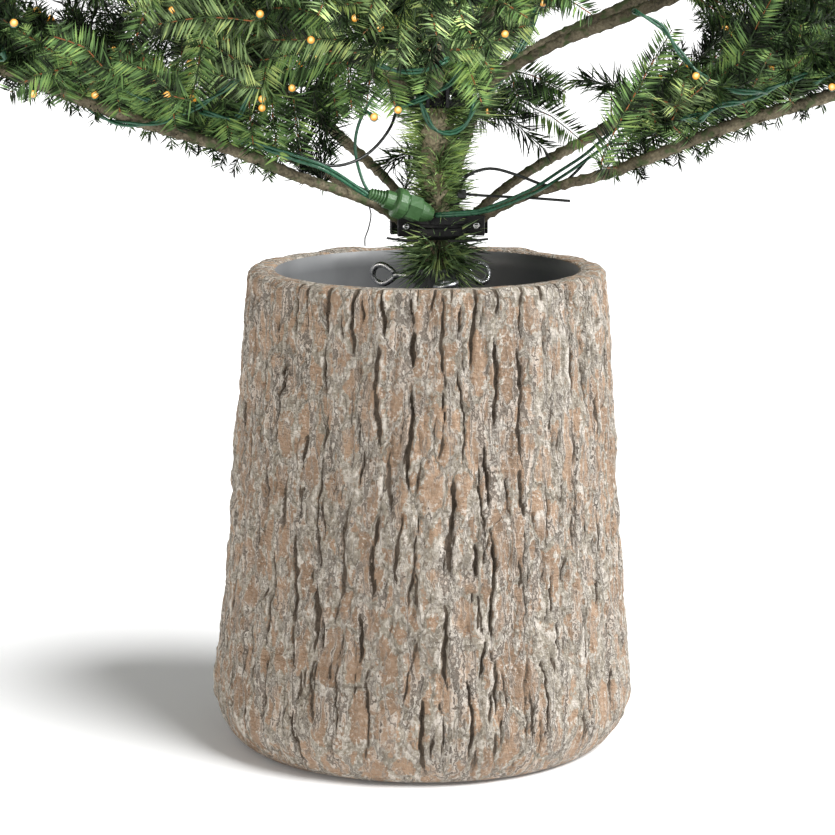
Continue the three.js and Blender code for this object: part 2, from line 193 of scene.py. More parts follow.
def root_radius(tier):
    section = sum(tier.hub > joint for joint in POLE_JOINTS)
    return (COLLAR_RADIUS if tier.bough_end else POLE_RADII[section]) + CLEARANCE


def line_of(tier):
    """The height of a tier's limbs above its own hub: steep at first and then settled"""
    root = root_radius(tier)
    extra = (tier.steep - tier.slope) * CROWN_SETTLE
    return lambda r: tier.slope * (r - root) + extra * (1 - exp((root - r) / CROWN_SETTLE))


WIDEST_AT = TIERS[0].hub + line_of(TIERS[0])(CROWN_REACH)


def cone_radius(z):
    return CROWN_REACH * (CROWN_APEX - z) / (CROWN_APEX - WIDEST_AT)


def reach_of(tier):
    r = CROWN_REACH / 2
    for _ in range(40):
        r = 0.5 * r + 0.5 * cone_radius(tier.hub + line_of(tier)(r))
    return r


def wedges_of(azimuths):
    """Half of the angle to the next limb on either side, as radians to the left and to the right"""
    wedges = []
    for i, own in enumerate(azimuths):
        following = azimuths[(i + 1) % len(azimuths)] + (360 if i + 1 == len(azimuths) else 0)
        before = azimuths[i - 1] - (360 if i == 0 else 0)
        left, right = min(WIDEST_WEDGE, (following - own) / 2), min(WIDEST_WEDGE, (own - before) / 2)
        wedges.append((radians(left), radians(right)))
    return wedges


def hangs_free(index, azimuth):
    """Whether the tier beneath has no bough near this azimuth"""
    return index > 0 and all(abs((other - azimuth + 540) % 360 - 180) > OPEN_BELOW
                             for other in TIERS[index - 1].azimuths)


def space_of(index, wedge, free=False, raised=0.0):
    """Whether a point, given in a mass's own frame, keeps to the mass's own space"""
    tier = TIERS[index] if index < len(TIERS) else LEADER
    above = TIERS[index + 1] if index + 1 < len(TIERS) else LEADER
    below = TIERS[index - 1] if index > 0 and not free else None

    def halfway(other, r):
        return (tier.hub + line_of(tier)(r) + other.hub + line_of(other)(r)) / 2 - tier.hub

    def inside(p):
        r, turn, z = hypot(p.x, p.y), atan2(p.y, p.x), p.z + raised
        in_wedge = wedge is None or -wedge[1] * r + SPACE_MARGIN < turn * r < wedge[0] * r - SPACE_MARGIN
        under_top = above is tier or z < halfway(above, r) - SPACE_MARGIN
        over_floor = below is None or z > halfway(below, r) + SPACE_MARGIN
        return (in_wedge and under_top and over_floor and z + tier.hub < CROWN_TOP
                and r < cone_radius(z + tier.hub) + 0.014)

    return inside


class Spray(namedtuple("Spray", "root direction normal length width teeth")):
    """A flat spray of twigs round a middle one"""

    def at(self, share):
        """The point so far along the middle twig"""
        return self.root + self.direction * (share * self.length)


def spray_frame(spray):
    across = spray.normal.cross(spray.direction).normalized()
    return across, spray.direction.cross(across).normalized()


def tooth_tips(spray):
    """Where a spray's side twigs end: how far along it, how far to the side, and the points themselves"""
    across, _ = spray_frame(spray)
    step = 1 / (spray.teeth + 0.45)
    tips = []
    for i in range(spray.teeth):
        spread = spray.width / 2 * (1 - 0.55 * i / spray.teeth)
        for side in (1, -1):
            along = (i + 1) * step
            tips.append((along, side, spread, spray.at(along) + across * (side * spread)))
    return tips


def fitted(spray, inside, shortest):
    """The spray, shortened until it keeps to its space, in a list that is empty where it doesn't fit"""
    length = spray.length
    while length >= shortest:
        width = spray.width * sqrt(length / spray.length)
        made = spray._replace(length=length, width=width)
        ends = [tip[3] for tip in tooth_tips(made)] + [made.at(1)]
        if all(inside(p) for p in ends):
            return [made]
        length *= 0.9
    return []


def stem_points(tier, start, end, steps):
    line = line_of(tier)
    return [Vector((r, 0, line(r))) for r in (lerp(start, end, i / steps) for i in range(steps + 1))]


# Further sprays share a stem with the first ones: a factor on their swing, their lift and their length
FIRST_SET = (1.0, 1.0, 1.0)
FURTHER_SETS = {
    "low": [(0.6, 0.55, 0.85), (1.3, -0.4, 0.72)],
    "second": [(0.6, -1.0, 0.85), (1.3, 0.5, 0.72), (0.35, -1.5, 0.8)],
}
FREE_SETS = [(0.25, 0.4, 1.0), (0.9, -0.6, 1.0), (1.45, 0.3, 0.9)]

# How far a limb hangs below the rule's line, by its tier and azimuth
SAGS = {("low", -11): 0.014, ("low", 202): 0.009}

# How far out a limb is bare where the photograph shows sky behind it
BARE_TO = {("second", -15): 0.2, ("second", 20): 0.2}


def mass_sprays(index, start, wedge, free, seed, raised=0.0, factors=FIRST_SET):
    """The sprays of one mass in its own frame, in which its stem runs out along +X"""
    tier = TIERS[index]
    line, reach, inside = line_of(tier), reach_of(tier), space_of(index, wedge, free, raised)
    sinking = DROOP_FREE if free else DROOP_NESTED if index else DROOP_LOWEST
    stem_end = reach * STEM_SHARE
    longest = reach * 0.42 + 0.02
    side_sprays = tier.sprays - 1

    def point_at(r):
        return Vector((r, 0, line(r)))

    sprays = []
    for i in range(side_sprays):
        t = (i + 0.3 + 0.4 * roll(seed + i)) / side_sprays
        r = lerp(start + 0.014, stem_end - 0.2 * longest, t)
        side = 1 if i % 2 else -1
        swing = side * radians(lerp(58, 34, t) + 8 * (roll(seed + 20 + i) - 0.5)) * factors[0]
        lift = (1 if (i >> 1) % 2 else -sinking) * (0.22 + 0.2 * roll(seed + 40 + i))
        direction = turned_about((point_at(r + 0.001) - point_at(r)).normalized(), UP, swing)
        direction.z += lift * factors[1]
        direction.normalize()
        tilt = radians(SPRAY_TILT + 20 * (roll(seed + 60 + i) - 0.5))
        normal = turned_about(UP, direction, side * tilt)
        length = longest * (1 - 0.45 * t) * (0.9 + 0.2 * roll(seed + 80 + i)) * factors[2]
        spray = Spray(point_at(r), direction, normal, length, length * 0.52, tier.teeth)
        sprays += fitted(spray, inside, longest * 0.25)
    if factors != FIRST_SET:
        return sprays
    direction = (point_at(stem_end + 0.001) - point_at(stem_end)).normalized()
    length = (reach - stem_end + 0.008) / direction.x
    normal = Vector((0, 0.5, 1)).normalized()
    end = Spray(point_at(stem_end - 0.008), direction, normal, length, length * 0.8 + 0.02, tier.teeth)
    return sprays + fitted(end, inside, length * 0.3)


def top_sprays(seed):
    """The leader's whorls and the spray that points straight up, in the leader's own frame"""
    inside = space_of(len(TIERS), None)
    sprays = []
    for row, whorl in enumerate(LEADER_WHORLS + NECK_WHORLS):
        for i in range(LEADER.sprays):
            turn = radians(360 / LEADER.sprays * (i + 0.5 * row))
            rise = 0.9 + 0.5 * (row % 2) + 0.3 * roll(seed + 10 * row + i)
            direction = Vector((cos(turn), sin(turn), rise)).normalized()
            normal = direction.cross(Vector((-sin(turn), cos(turn), 0)))
            length = 0.118 - 0.03 * (row % 2)
            root = Vector((0, 0, whorl + LEADER_STAGGER * i - LEADER.hub))
            spray = Spray(root, direction, normal, length, length * 0.5, LEADER.teeth)
            kept = [spray] if row >= len(LEADER_WHORLS) else []
            sprays += fitted(spray, inside, length * 0.4) or kept
    root = Vector((0, 0, CROWN_TOP - 0.1 - LEADER.hub))
    sprays.append(Spray(root, UP.copy(), Vector((1, 0, 0)), 0.099, 0.046, 3))
    return sprays


# One limb of the crown: its stem as points in the scene's frame, and the sprays that spring from it
Limb = namedtuple("Limb", "tier azimuth seed stem sprays")

# Where the photograph shows sky through the crown: the pixels of each place's corners, and the share of a
# spray's tips that may lie there
SKY_SEEN = [(538, 12, 640, 62), (574, 84, 608, 130)]
SKY_SHARE = 0.15

# Two further limbs share each mass's space: the share of the wedge that they stand aside, and their rise
COMPANION_ASIDE = 0.42
COMPANION_RISES = {"third": 0.026, "fourth": 0.028, "fifth": 0.028, "sixth": 0.03, "seventh": 0.03}


def placed(spray, place):
    """A spray carried from a mass's own frame to the scene's frame"""
    root, turn = place @ spray.root, place.to_3x3()
    return spray._replace(root=root, direction=turn @ spray.direction, normal=turn @ spray.normal)


def hung(point, sag):
    """A point of a mass's own frame, let down as its limb sags"""
    return point - UP * (sag * float(smooth((hypot(point.x, point.y) - 0.03) / 0.12)))


def grown_limbs():
    """Every limb of the crown with its sprays"""
    limbs = []
    for index, tier in enumerate(TIERS):
        wedges = wedges_of(tier.azimuths)
        start = tier.bough_end + CLEARANCE if tier.bough_end else root_radius(tier)
        stem_end = reach_of(tier) * STEM_SHARE
        for i, azimuth in enumerate(tier.azimuths):
            seed = 100 * index + 13 * i
            left, right = wedges[i]
            grown = [(0.0, 0.0, seed)]
            if tier.name in COMPANION_RISES:
                rise = COMPANION_RISES[tier.name]
                grown.append((COMPANION_ASIDE * left, rise, seed + 7))
                grown.append((-COMPANION_ASIDE * right, -rise, seed + 5))
            for aside, rise, own_seed in grown:
                wedge, turn = (left - aside, right + aside), radians(azimuth) + aside
                place = at_pole(tier.hub + rise, turn)
                free = hangs_free(index, azimuth)
                sprays = mass_sprays(index, start, wedge, free, own_seed, rise)
                for k, factors in enumerate(FURTHER_SETS.get(tier.name, []) + (FREE_SETS if free else [])):
                    sprays += mass_sprays(index, start, wedge, free, own_seed + 31 * (k + 1), rise, factors)
                sag = SAGS.get((tier.name, azimuth), 0.0)
                bare = BARE_TO.get((tier.name, azimuth), 0.0)
                sprays = [s._replace(root=hung(s.root, sag)) for s in sprays if s.root.x > bare]
                stem = [place @ hung(p, sag) for p in stem_points(tier, root_radius(tier), stem_end, 40)]
                limbs.append(Limb(tier, turn, own_seed, stem, [placed(s, place) for s in sprays]))
    place = at_pole(LEADER.hub)
    stem = [Vector((POLE_X, 0, lerp(POLE_TOP, CROWN_TOP - 0.07, i / 20))) for i in range(21)]
    limbs.append(Limb(LEADER, 0.0, 900, stem, [placed(s, place) for s in top_sprays(900)]))
    return limbs


def leafy(limb):
    """The limb's sprays with their numbers, without those that would fill a place where the sky shows"""
    for index, spray in enumerate(limb.sprays):
        u, v, _ = pixels_of(np.array([tuple(tip[3]) for tip in tooth_tips(spray)]))
        shares = [np.mean((u > left) & (u < right) & (v > top) & (v < bottom))
                  for left, top, right, bottom in SKY_SEEN]
        if max(shares) < SKY_SHARE:
            yield index, spray


def linked(name, data):
    """A new object in the scene"""
    obj = bpy.data.objects.new(name, data)
    bpy.context.scene.collection.objects.link(obj)
    return obj


# Strands: many polylines joined as one mesh of edges, for Geometry Nodes to follow

class Strands:
    """Polylines with a direction, a facing, a size and a thickness at each of their points"""

    def __init__(self):
        self.points, self.edges = [], []
        self.values = {"ahead": [], "facing": [], "size": [], "thickness": []}

    def dot(self, point, ahead, size=1.0, facing=UP, thickness=0.001):
        """A point with a direction, which may stand alone"""
        self.points.append(point)
        for own, value in zip(self.values.values(), (ahead, facing, size, thickness)):
            own.append(value)

    def add(self, path, facing=UP, sizes=(1, 1), radii=(0.001, 0.001)):
        first, last = len(self.points), len(path) - 1
        for i, point in enumerate(path):
            ahead = (path[min(i + 1, last)] - path[max(i - 1, 0)]).normalized()
            size, radius = (np.interp(i / last, np.linspace(0, 1, len(v)), v) for v in (sizes, radii))
            self.dot(point, ahead, size, facing, radius)
        self.edges += [(first + i, first + i + 1) for i in range(last)]

    def add_wire(self, path, radius):
        self.add(path, radii=(radius, radius))

    def object(self, name):
        mesh = bpy.data.meshes.new(name)
        mesh.from_pydata([tuple(p) for p in self.points], self.edges, [])
        for key, values in self.values.items():
            values = np.array(values, np.float32)
            kind, field = ("FLOAT", "value") if values.ndim == 1 else ("FLOAT_VECTOR", "vector")
            mesh.attributes.new(key, kind, "POINT").data.foreach_set(field, values.ravel())
        return linked(name, mesh)


# Mesh helpers

def mesh_object(name, points, faces, materials, face_materials=None, smooth_shading=True, attributes=None):
    """A mesh object at the origin, with its materials and its point attributes"""
    mesh = bpy.data.meshes.new(name)
    mesh.from_pydata(np.asarray(points, float).tolist(), [], [tuple(f) for f in faces])
    for material in materials:
        mesh.materials.append(material)
    if face_materials is not None:
        mesh.polygons.foreach_set("material_index", np.asarray(face_materials, np.int32))
    mesh.polygons.foreach_set("use_smooth", np.full(len(mesh.polygons), smooth_shading))
    for key, values in (attributes or {}).items():
        layer = mesh.attributes.new(key, "FLOAT", "POINT")
        layer.data.foreach_set("value", np.asarray(values, np.float32).ravel())
    mesh.update()
    return linked(name, mesh)


class Shapes:
    """Points and faces of several shapes that are joined as one mesh"""

    def __init__(self):
        self.points, self.faces, self.materials, self.values = [], [], [], []

    def add(self, points, faces, material=0, values=None):
        first = sum(len(p) for p in self.points)
        self.points.append(np.asarray(points, float).reshape(-1, 3))
        self.faces += [tuple(first + k for k in face) for face in faces]
        self.materials += [material] * len(faces)
        self.values.append(np.zeros(len(self.points[-1])) if values is None else np.asarray(values, float))

    def object(self, name, materials, value_name=None, smooth_shading=True):
        attributes = {value_name: np.concatenate(self.values)} if value_name else None
        return mesh_object(name, np.concatenate(self.points), self.faces, materials, self.materials,
                           smooth_shading, attributes)


def ring_faces(rings, sides, first=0):
    """Quads between rings of points that each go once round"""
    faces = []
    for i in range(rings - 1):
        for k in range(sides):
            a, b = first + i * sides + k, first + i * sides + (k + 1) % sides
            faces.append((a, b, b + sides, a + sides))
    return faces


def tube(path, radii, sides, relief=None):
    """A closed tube along a path. relief(turn, length along) gives extra radius."""
    points = []
    for base, (point, side, over, travelled) in zip(radii, frames_along(path)):
        for k in range(sides):
            turn = 2 * pi * k / sides
            radius = base + (relief(turn, travelled) if relief else 0.0)
            points.append(point + (side * cos(turn) + over * sin(turn)) * radius)
    last = (len(path) - 1) * sides
    ends = [tuple(range(sides - 1, -1, -1)), tuple(range(last, last + sides))]
    return [tuple(p) for p in points], ring_faces(len(path), sides) + ends


def lathe(profile, sides, place=None):
    """A profile of (radius, height) pairs from axis to axis, turned about Z and carried to its place"""
    place = place or Matrix.Identity(4)
    points = [place @ Vector((0, 0, profile[0][1]))]
    for r, z in profile[1:-1]:
        for k in range(sides):
            turn = 2 * pi * k / sides
            points.append(place @ Vector((r * cos(turn), r * sin(turn), z)))
    points.append(place @ Vector((0, 0, profile[-1][1])))
    rings = len(profile) - 2
    last = 1 + rings * sides
    faces = ring_faces(rings, sides, 1)
    for k in range(sides):
        after = (k + 1) % sides
        faces.append((0, 1 + after, 1 + k))
        faces.append((last, last - sides + k, last - sides + after))
    return [tuple(p) for p in points], faces


def box_between(low, high, place):
    """A box with its edges cut back, in its own frame between two corners, carried to its place"""
    cut = 0.12 * min(h - l for l, h in zip(low, high))
    profile = [(low[2], cut), (low[2] + cut, 0.0), (high[2] - cut, 0.0), (high[2], cut)]
    points = []
    for z, inset in profile:
        for x, y in ((low[0] + inset, low[1] + inset), (high[0] - inset, low[1] + inset),
                     (high[0] - inset, high[1] - inset), (low[0] + inset, high[1] - inset)):
            points.append(tuple(place @ Vector((x, y, z))))
    faces = ring_faces(4, 4)
    faces += [(3, 2, 1, 0), (12, 13, 14, 15)]
    return points, faces


def axes_at(point, along):
    """A frame at a point with its Z along a direction"""
    z = along.normalized()
    x = z.orthogonal()
    x = (x - z * x.dot(z)).normalized()
    return Matrix.Translation(point) @ Matrix((x, z.cross(x), z)).transposed().to_4x4()


# Smooth noise on a sheet that wraps round in u, with v from 0 to 1

def sheet_noise(u, v, columns, rows, seed):
    """Smooth noise from -1 to 1 with so many cells round and so many up"""
    grid = np.random.default_rng(seed).uniform(-1, 1, (rows + 2, columns))
    x, y = (u % 1.0) * columns, np.clip(v, 0, 1) * rows
    i, j = np.floor(x).astype(int), np.floor(y).astype(int)
    fx, fy = smooth(x - i), smooth(y - j)
    near = grid[j, i % columns] * (1 - fx) + grid[j, (i + 1) % columns] * fx
    far = grid[j + 1, i % columns] * (1 - fx) + grid[j + 1, (i + 1) % columns] * fx
    return near * (1 - fy) + far * fy


# Materials

class Graph:
    """A node tree with short ways to add its nodes"""

    def __init__(self, tree, shader=None):
        self.tree, self.shader = tree, shader

    def add(self, kind, inputs=None, **options):
        """Adds a node with its options, links or sets its inputs by name or number, and gives its outputs"""
        node = self.tree.nodes.new(kind)
        for key, value in options.items():
            setattr(node, key, value)
        for key, value in (inputs or {}).items():
            if isinstance(value, bpy.types.NodeSocket):
                self.link(value, node.inputs[key])
            else:
                node.inputs[key].default_value = value
        return node.outputs

    def link(self, output, socket):
        self.tree.links.new(output, socket)

    def maths(self, operation, *values):
        return self.add("ShaderNodeMath", dict(enumerate(values)), operation=operation)[0]

    def times(self, a, b):
        return self.maths("MULTIPLY", a, b)

    def most(self, a, b):
        return self.maths("MAXIMUM", a, b)

    def vectors(self, operation, *values):
        return self.add("ShaderNodeVectorMath", dict(enumerate(values)), operation=operation)[0]

    def scaled(self, vector, factor):
        return self.add("ShaderNodeVectorMath", {0: vector, "Scale": factor}, operation="SCALE")[0]

    def at_angle(self, first, second, angle):
        """A direction turned by an angle from the first one towards the second"""
        return self.vectors("ADD", self.scaled(first, self.maths("COSINE", angle)),
                            self.scaled(second, self.maths("SINE", angle)))

    def span(self, value, low, high, to_low=0.0, to_high=1.0):
        """A value mapped from one range onto another, and held at its ends"""
        inputs = {"Value": value, "From Min": low, "From Max": high, "To Min": to_low, "To Max": to_high}
        return self.add("ShaderNodeMapRange", inputs, interpolation_type="SMOOTHSTEP")["Result"]

    def place(self, stretch=(1, 1, 1)):
        """The object's own metres, drawn together along each axis by a factor"""
        place = self.add("ShaderNodeTexCoord")["Object"]
        if stretch == (1, 1, 1):
            return place
        return self.add("ShaderNodeMapping", {"Vector": place, "Scale": stretch})["Vector"]

    def noise(self, scale, detail=2.0, stretch=(1, 1, 1), rough=0.55):
        """Noise in the object's own metres, so a feature is about 1 / scale metres"""
        inputs = {"Vector": self.place(stretch), "Scale": scale, "Detail": detail, "Roughness": rough}
        return self.add("ShaderNodeTexNoise", inputs)["Fac"]

    def ramp(self, value, stops):
        """A colour ramp from (position, colour) pairs"""
        outputs = self.add("ShaderNodeValToRGB", {"Fac": value})
        elements = outputs[0].node.color_ramp.elements
        while len(elements) < len(stops):
            elements.new(0.5)
        for element, (position, colour) in zip(elements, stops):
            element.position = position
            element.color = (*colour[:3], 1)
        return outputs["Color"]

    def mix(self, factor, a, b):
        """The second colour laid over the first"""
        a, b = (c if isinstance(c, bpy.types.NodeSocket) else (*c[:3], 1) for c in (a, b))
        return self.add("ShaderNodeMix", {0: factor, 6: a, 7: b}, data_type="RGBA")[2]

    def value(self, name):
        """A value that a mesh carries, for its finish"""
        return self.add("ShaderNodeAttribute", attribute_name=name)["Fac"]

    def named(self, name, kind):
        """A value that a mesh carries, for its growth"""
        return self.add("GeometryNodeInputNamedAttribute", {"Name": name}, data_type=kind)["Attribute"]

    def random(self, low, high, seed, offset):
        inputs = {2: low, 3: high, "Seed": self.maths("ADD", seed, float(offset))}
        return self.add("FunctionNodeRandomValue", inputs, data_type="FLOAT")[1]

    def colour(self, output):
        self.link(output, self.shader.inputs["Base Color"])

    def bump(self, height, distance):
        bumped = self.add("ShaderNodeBump", {"Height": height, "Distance": distance, "Strength": 1.0})
        self.link(bumped["Normal"], self.shader.inputs["Normal"])


def new_material(name, roughness, metallic=0.0, specular=0.5, glow=0.0):
    """A material with a bare shader, and its graph for the caller to fill in"""
    material = bpy.data.materials.new(name)
    material.use_nodes = True
    shader = material.node_tree.nodes["Principled BSDF"]
    for key, value in (("Roughness", roughness), ("Metallic", metallic), ("Specular IOR Level", specular),
                       ("Emission Strength", glow)):
        shader.inputs[key].default_value = value
    material.cycles.emission_sampling = "NONE"
    return material, Graph(material.node_tree, shader)


def shade(colour, amount):
    """A colour made darker or lighter by a factor"""
    return tuple(min(1.0, c * amount) for c in colour[:3])


def mottled(name, colour, spread, scale, roughness, *, grain=(1, 1, 1), bump=0.0, metallic=0.0, specular=0.5,
            uneven=0.0):
    """A finish with patches lighter and darker than its colour, fine relief, and patches of other gloss"""
    material, tree = new_material(name, roughness, metallic, specular)
    patches = tree.noise(scale, 3.0, grain)
    stops = [(0.3, shade(colour, 1 - spread)), (0.5, shade(colour, 1.0)), (0.72, shade(colour, 1 + spread))]
    tree.colour(tree.ramp(patches, stops))
    if uneven:
        gloss = tree.span(patches, 0.35, 0.65, roughness - uneven, roughness + uneven)
        tree.link(gloss, tree.shader.inputs["Roughness"])
    if bump:
        tree.bump(tree.noise(scale * 4, 2.0, grain), bump)
    return material


def needle_finish(name, colour, sheen):
    """Plastic needles: each clump and each needle is a little lighter or darker than the next"""
    material, tree = new_material(name, 0.5, 0.0, sheen)
    clumps = tree.maths("MULTIPLY_ADD", tree.noise(42, 1.0), 1.5, -0.52)
    tone = tree.maths("MULTIPLY_ADD", tree.value("tint"), 0.55, clumps)
    yellowed = (min(1.0, colour[0] * 3.1), min(1.0, colour[1] * 2.5), colour[2] * 2.1)
    stops = [(0.18, shade(colour, 0.06)), (0.42, shade(colour, 0.5)),
             (0.64, shade(colour, 1.65)), (0.88, yellowed)]
    tree.colour(tree.ramp(tone, stops))
    return material


def knotted(name, colour, knots):
    """Moulded twigs: dark green, with small red-brown knots where the needles spring"""
    material, tree = new_material(name, 0.6, 0.0, 0.4)
    knot = tree.span(tree.noise(210, 1.0), 0.54, 0.6)
    tree.colour(tree.mix(knot, shade(colour, 0.45), knots))
    return material


def cracks(tree, noise, ragged, width):
    """Lines where a noise passes through its middle, ragged by a finer one, and the lips on both sides"""
    middle = tree.maths("SUBTRACT", tree.maths("MULTIPLY_ADD", ragged, 0.16, noise), 0.58)
    off = tree.maths("ABSOLUTE", middle)
    return tree.span(off, width * 0.3, width, 1.0, 0.0), tree.span(off, width * 1.3, width * 3.2, 1.0, 0.0)


def plate_edges(tree, scale, stretch):
    """How far each point lies from the border of its plate, in a pattern of uneven plates"""
    place = tree.add("ShaderNodeTexCoord")["Object"]
    stir = tree.add("ShaderNodeTexNoise", {"Vector": place, "Scale": 75.0, "Detail": 3.0})["Color"]
    stirred = tree.vectors("MULTIPLY_ADD", stir, (0.011, 0.011, 0.011), place)
    plates = tree.add("ShaderNodeMapping", {"Vector": stirred, "Scale": stretch})["Vector"]
    inputs = {"Vector": plates, "Scale": scale}
    return tree.add("ShaderNodeTexVoronoi", inputs, feature="DISTANCE_TO_EDGE")["Distance"]


def bark_finish(pot):
    """Painted bark: tan plates, a pale wash brushed over what stands out, and dark furrows"""
    material, tree = new_material("painted_bark", 0.74, 0.0, 0.3)
    furrow, raised, rough = tree.value("furrow"), tree.value("raised"), tree.value("rough")
    fine = tree.noise(360, 3.0, (1, 1, 0.8), 0.6)
    flecks = tree.noise(130, 4.0, (1, 1, 0.6), 0.65)
    patches = tree.noise(20, 2.0, (1, 1, 0.5))
    grain = tree.noise(95, 3.0, (1, 1, 4.5), 0.6)
    broken = tree.span(tree.noise(44, 2.0, (1, 1, 0.5)), 0.42, 0.5)
    broken_finely = tree.span(tree.noise(88, 2.0, (1, 1, 0.4)), 0.46, 0.54)
    crease, crease_lip = cracks(tree, tree.noise(60, 2.0, (1, 1, 0.13)), fine, 0.02)
    split, split_lip = cracks(tree, tree.noise(132, 2.0, (1, 1, 0.2)), fine, 0.022)
    edge = plate_edges(tree, 50.0, (1, 1, 0.42))
    border, calm = tree.span(edge, 0.02, 0.17, 1.0, 0.0), tree.span(edge, 0.12, 0.28, 1.0, 0.3)
    parting = tree.times(tree.span(edge, 0.006, 0.032, 0.5, 0.0), broken)
    finely = tree.times(broken_finely, 0.55)
    lines = tree.most(tree.times(crease, broken), tree.times(split, finely))
    lines = tree.most(lines, parting)
    lips = tree.most(tree.times(crease_lip, broken), tree.times(split_lip, finely))

    tan = pot.plate_colour
    base = tree.ramp(patches, [(0.36, shade(tan, 0.78)), (0.5, tan), (0.64, shade(tan, 1.16))])
    rusty = tree.mix(tree.span(grain, 0.53, 0.66), base, pot.rust_colour)
    terms = ((raised, 1.0), (rough, 0.34), (fine, 1.3), (flecks, 2.0), (patches, 1.9), (border, 0.8))
    brushed = tree.maths("MULTIPLY_ADD", terms[0][0], terms[0][1], -0.5 * sum(weight for _, weight in terms))
    for value, weight in terms[1:]:
        brushed = tree.maths("MULTIPLY_ADD", value, weight, brushed)
    wash_share = tree.span(brushed, pot.wash_from, pot.wash_from + 0.2)
    stops = [(0.4, shade(pot.moss_colour, 0.72)), (0.52, pot.moss_colour),
             (0.66, shade(pot.wash_colour, 0.86))]
    wash = tree.ramp(flecks, stops)
    washed = tree.mix(tree.times(wash_share, 0.9), rusty, wash)
    specks = tree.times(tree.span(fine, 0.54, 0.64, 0.0, 0.62), calm)
    pale = tree.most(specks, tree.times(lips, 0.62))
    lit = tree.mix(tree.most(pale, tree.span(raised, 0.72, 0.92, 0.0, 0.75)), washed, pot.wash_colour)
    pits = tree.times(tree.span(fine, 0.34, 0.46, 0.68, 0.0), calm)
    worn = tree.mix(pits, lit, shade(pot.furrow_colour, 1.6))
    cracked = tree.mix(tree.times(lines, 0.74), worn, pot.furrow_colour)
    dark = tree.span(tree.maths("MULTIPLY_ADD", fine, 0.5, furrow), 0.46, 0.72)
    tree.colour(tree.mix(dark, cracked, pot.furrow_colour))
    relief = tree.maths("ADD", tree.maths("ADD", fine, flecks), tree.times(grain, 0.9))
    relief = tree.maths("MULTIPLY_ADD", lines, -0.9, tree.maths("MULTIPLY_ADD", lips, 0.35, relief))
    relief = tree.maths("MULTIPLY_ADD", calm, -0.5, relief)
    tree.bump(relief, 0.0021)
    return material


# Geometry Nodes

def node_tree(name, sockets):
    """An empty modifier tree with named inputs: (name, socket type, default)"""
    tree = bpy.data.node_groups.new(name, "GeometryNodeTree")
    tree.interface.new_socket("Geometry", in_out="INPUT", socket_type="NodeSocketGeometry")
    for key, kind, default in sockets:
        socket = tree.interface.new_socket(key, in_out="INPUT", socket_type="NodeSocket" + kind)
        if default is not None:
            socket.default_value = default
    tree.interface.new_socket("Geometry", in_out="OUTPUT", socket_type="NodeSocketGeometry")
    return Graph(tree), tree.nodes.new("NodeGroupInput").outputs, tree.nodes.new("NodeGroupOutput").inputs


def finish_tree(tree, geometry, source, sink):
    """Realizes what was placed and gives it the material that the modifier is handed"""
    real = tree.add("GeometryNodeRealizeInstances", {"Geometry": geometry})["Geometry"]
    inputs = {"Geometry": real, "Material": source["Material"]}
    tree.link(tree.add("GeometryNodeSetMaterial", inputs)["Geometry"], sink["Geometry"])


def needle_tree():
    """Needles that stand out of strands at a lean, spread all round them or kept to two flat rows"""
    tree, source, sink = node_tree("Needles along twigs", [
        ("Needle", "Object", None), ("Material", "Material", None), ("Spacing", "Float", 0.0005),
        ("Length", "Float", 0.03), ("Width", "Float", 0.0013), ("Lean", "Float", 0.9),
        ("Lean spread", "Float", 0.2), ("Rows", "Float", 0.2), ("Blade turn", "Float", 0.6),
        ("Seed", "Int", 1),
    ])
    seed = source["Seed"]
    curve = tree.add("GeometryNodeMeshToCurve", {"Mesh": source["Geometry"]})["Curve"]
    inputs = {"Curve": curve, "Length": source["Spacing"]}
    points = tree.add("GeometryNodeCurveToPoints", inputs, mode="LENGTH")["Points"]
    ahead = tree.vectors("NORMALIZE", tree.named("ahead", "FLOAT_VECTOR"))
    facing = tree.named("facing", "FLOAT_VECTOR")
    across = tree.vectors("NORMALIZE", tree.vectors("CROSS_PRODUCT", facing, ahead))
    above = tree.vectors("CROSS_PRODUCT", ahead, across)
    row = tree.maths("FLOORED_MODULO", tree.add("GeometryNodeInputIndex")[0], 2.0)
    stray_turn = tree.times(tree.random(-pi, pi, seed, 0), tree.maths("SUBTRACT", 1.0, source["Rows"]))
    turn = tree.maths("MULTIPLY_ADD", row, pi, stray_turn)
    outward = tree.at_angle(across, above, turn)
    spread = tree.times(source["Lean spread"], tree.random(-1.0, 1.0, seed, 1))
    lean = tree.maths("ADD", source["Lean"], spread)
    direction = tree.at_angle(ahead, outward, lean)
    inputs = {0: (-1, -1, -1), 1: (1, 1, 1), "Seed": tree.maths("ADD", seed, 2.0)}
    stray = tree.add("FunctionNodeRandomValue", inputs, data_type="FLOAT_VECTOR")[0]
    blade = tree.vectors("ADD", above, tree.scaled(stray, source["Blade turn"]))
    turned = tree.add("FunctionNodeAxesToRotation", {0: direction, 1: blade}, primary_axis="X",
                      secondary_axis="Z")["Rotation"]
    size = tree.times(tree.named("size", "FLOAT"), tree.random(0.72, 1.12, seed, 3))
    scale = tree.add("ShaderNodeCombineXYZ", {
        "X": tree.times(source["Length"], size), "Y": source["Width"], "Z": source["Width"],
    })["Vector"]
    needle = tree.add("GeometryNodeObjectInfo", {"Object": source["Needle"]})["Geometry"]
    placed_needles = tree.add("GeometryNodeInstanceOnPoints", {
        "Points": points, "Instance": needle, "Rotation": turned, "Scale": scale,
    })["Instances"]
    tint = {"Geometry": placed_needles, "Name": "tint", "Value": tree.random(0.0, 1.0, seed, 4)}
    tinted = tree.add("GeometryNodeStoreNamedAttribute", tint, data_type="FLOAT", domain="INSTANCE")
    finish_tree(tree, tinted["Geometry"], source, sink)
    return tree


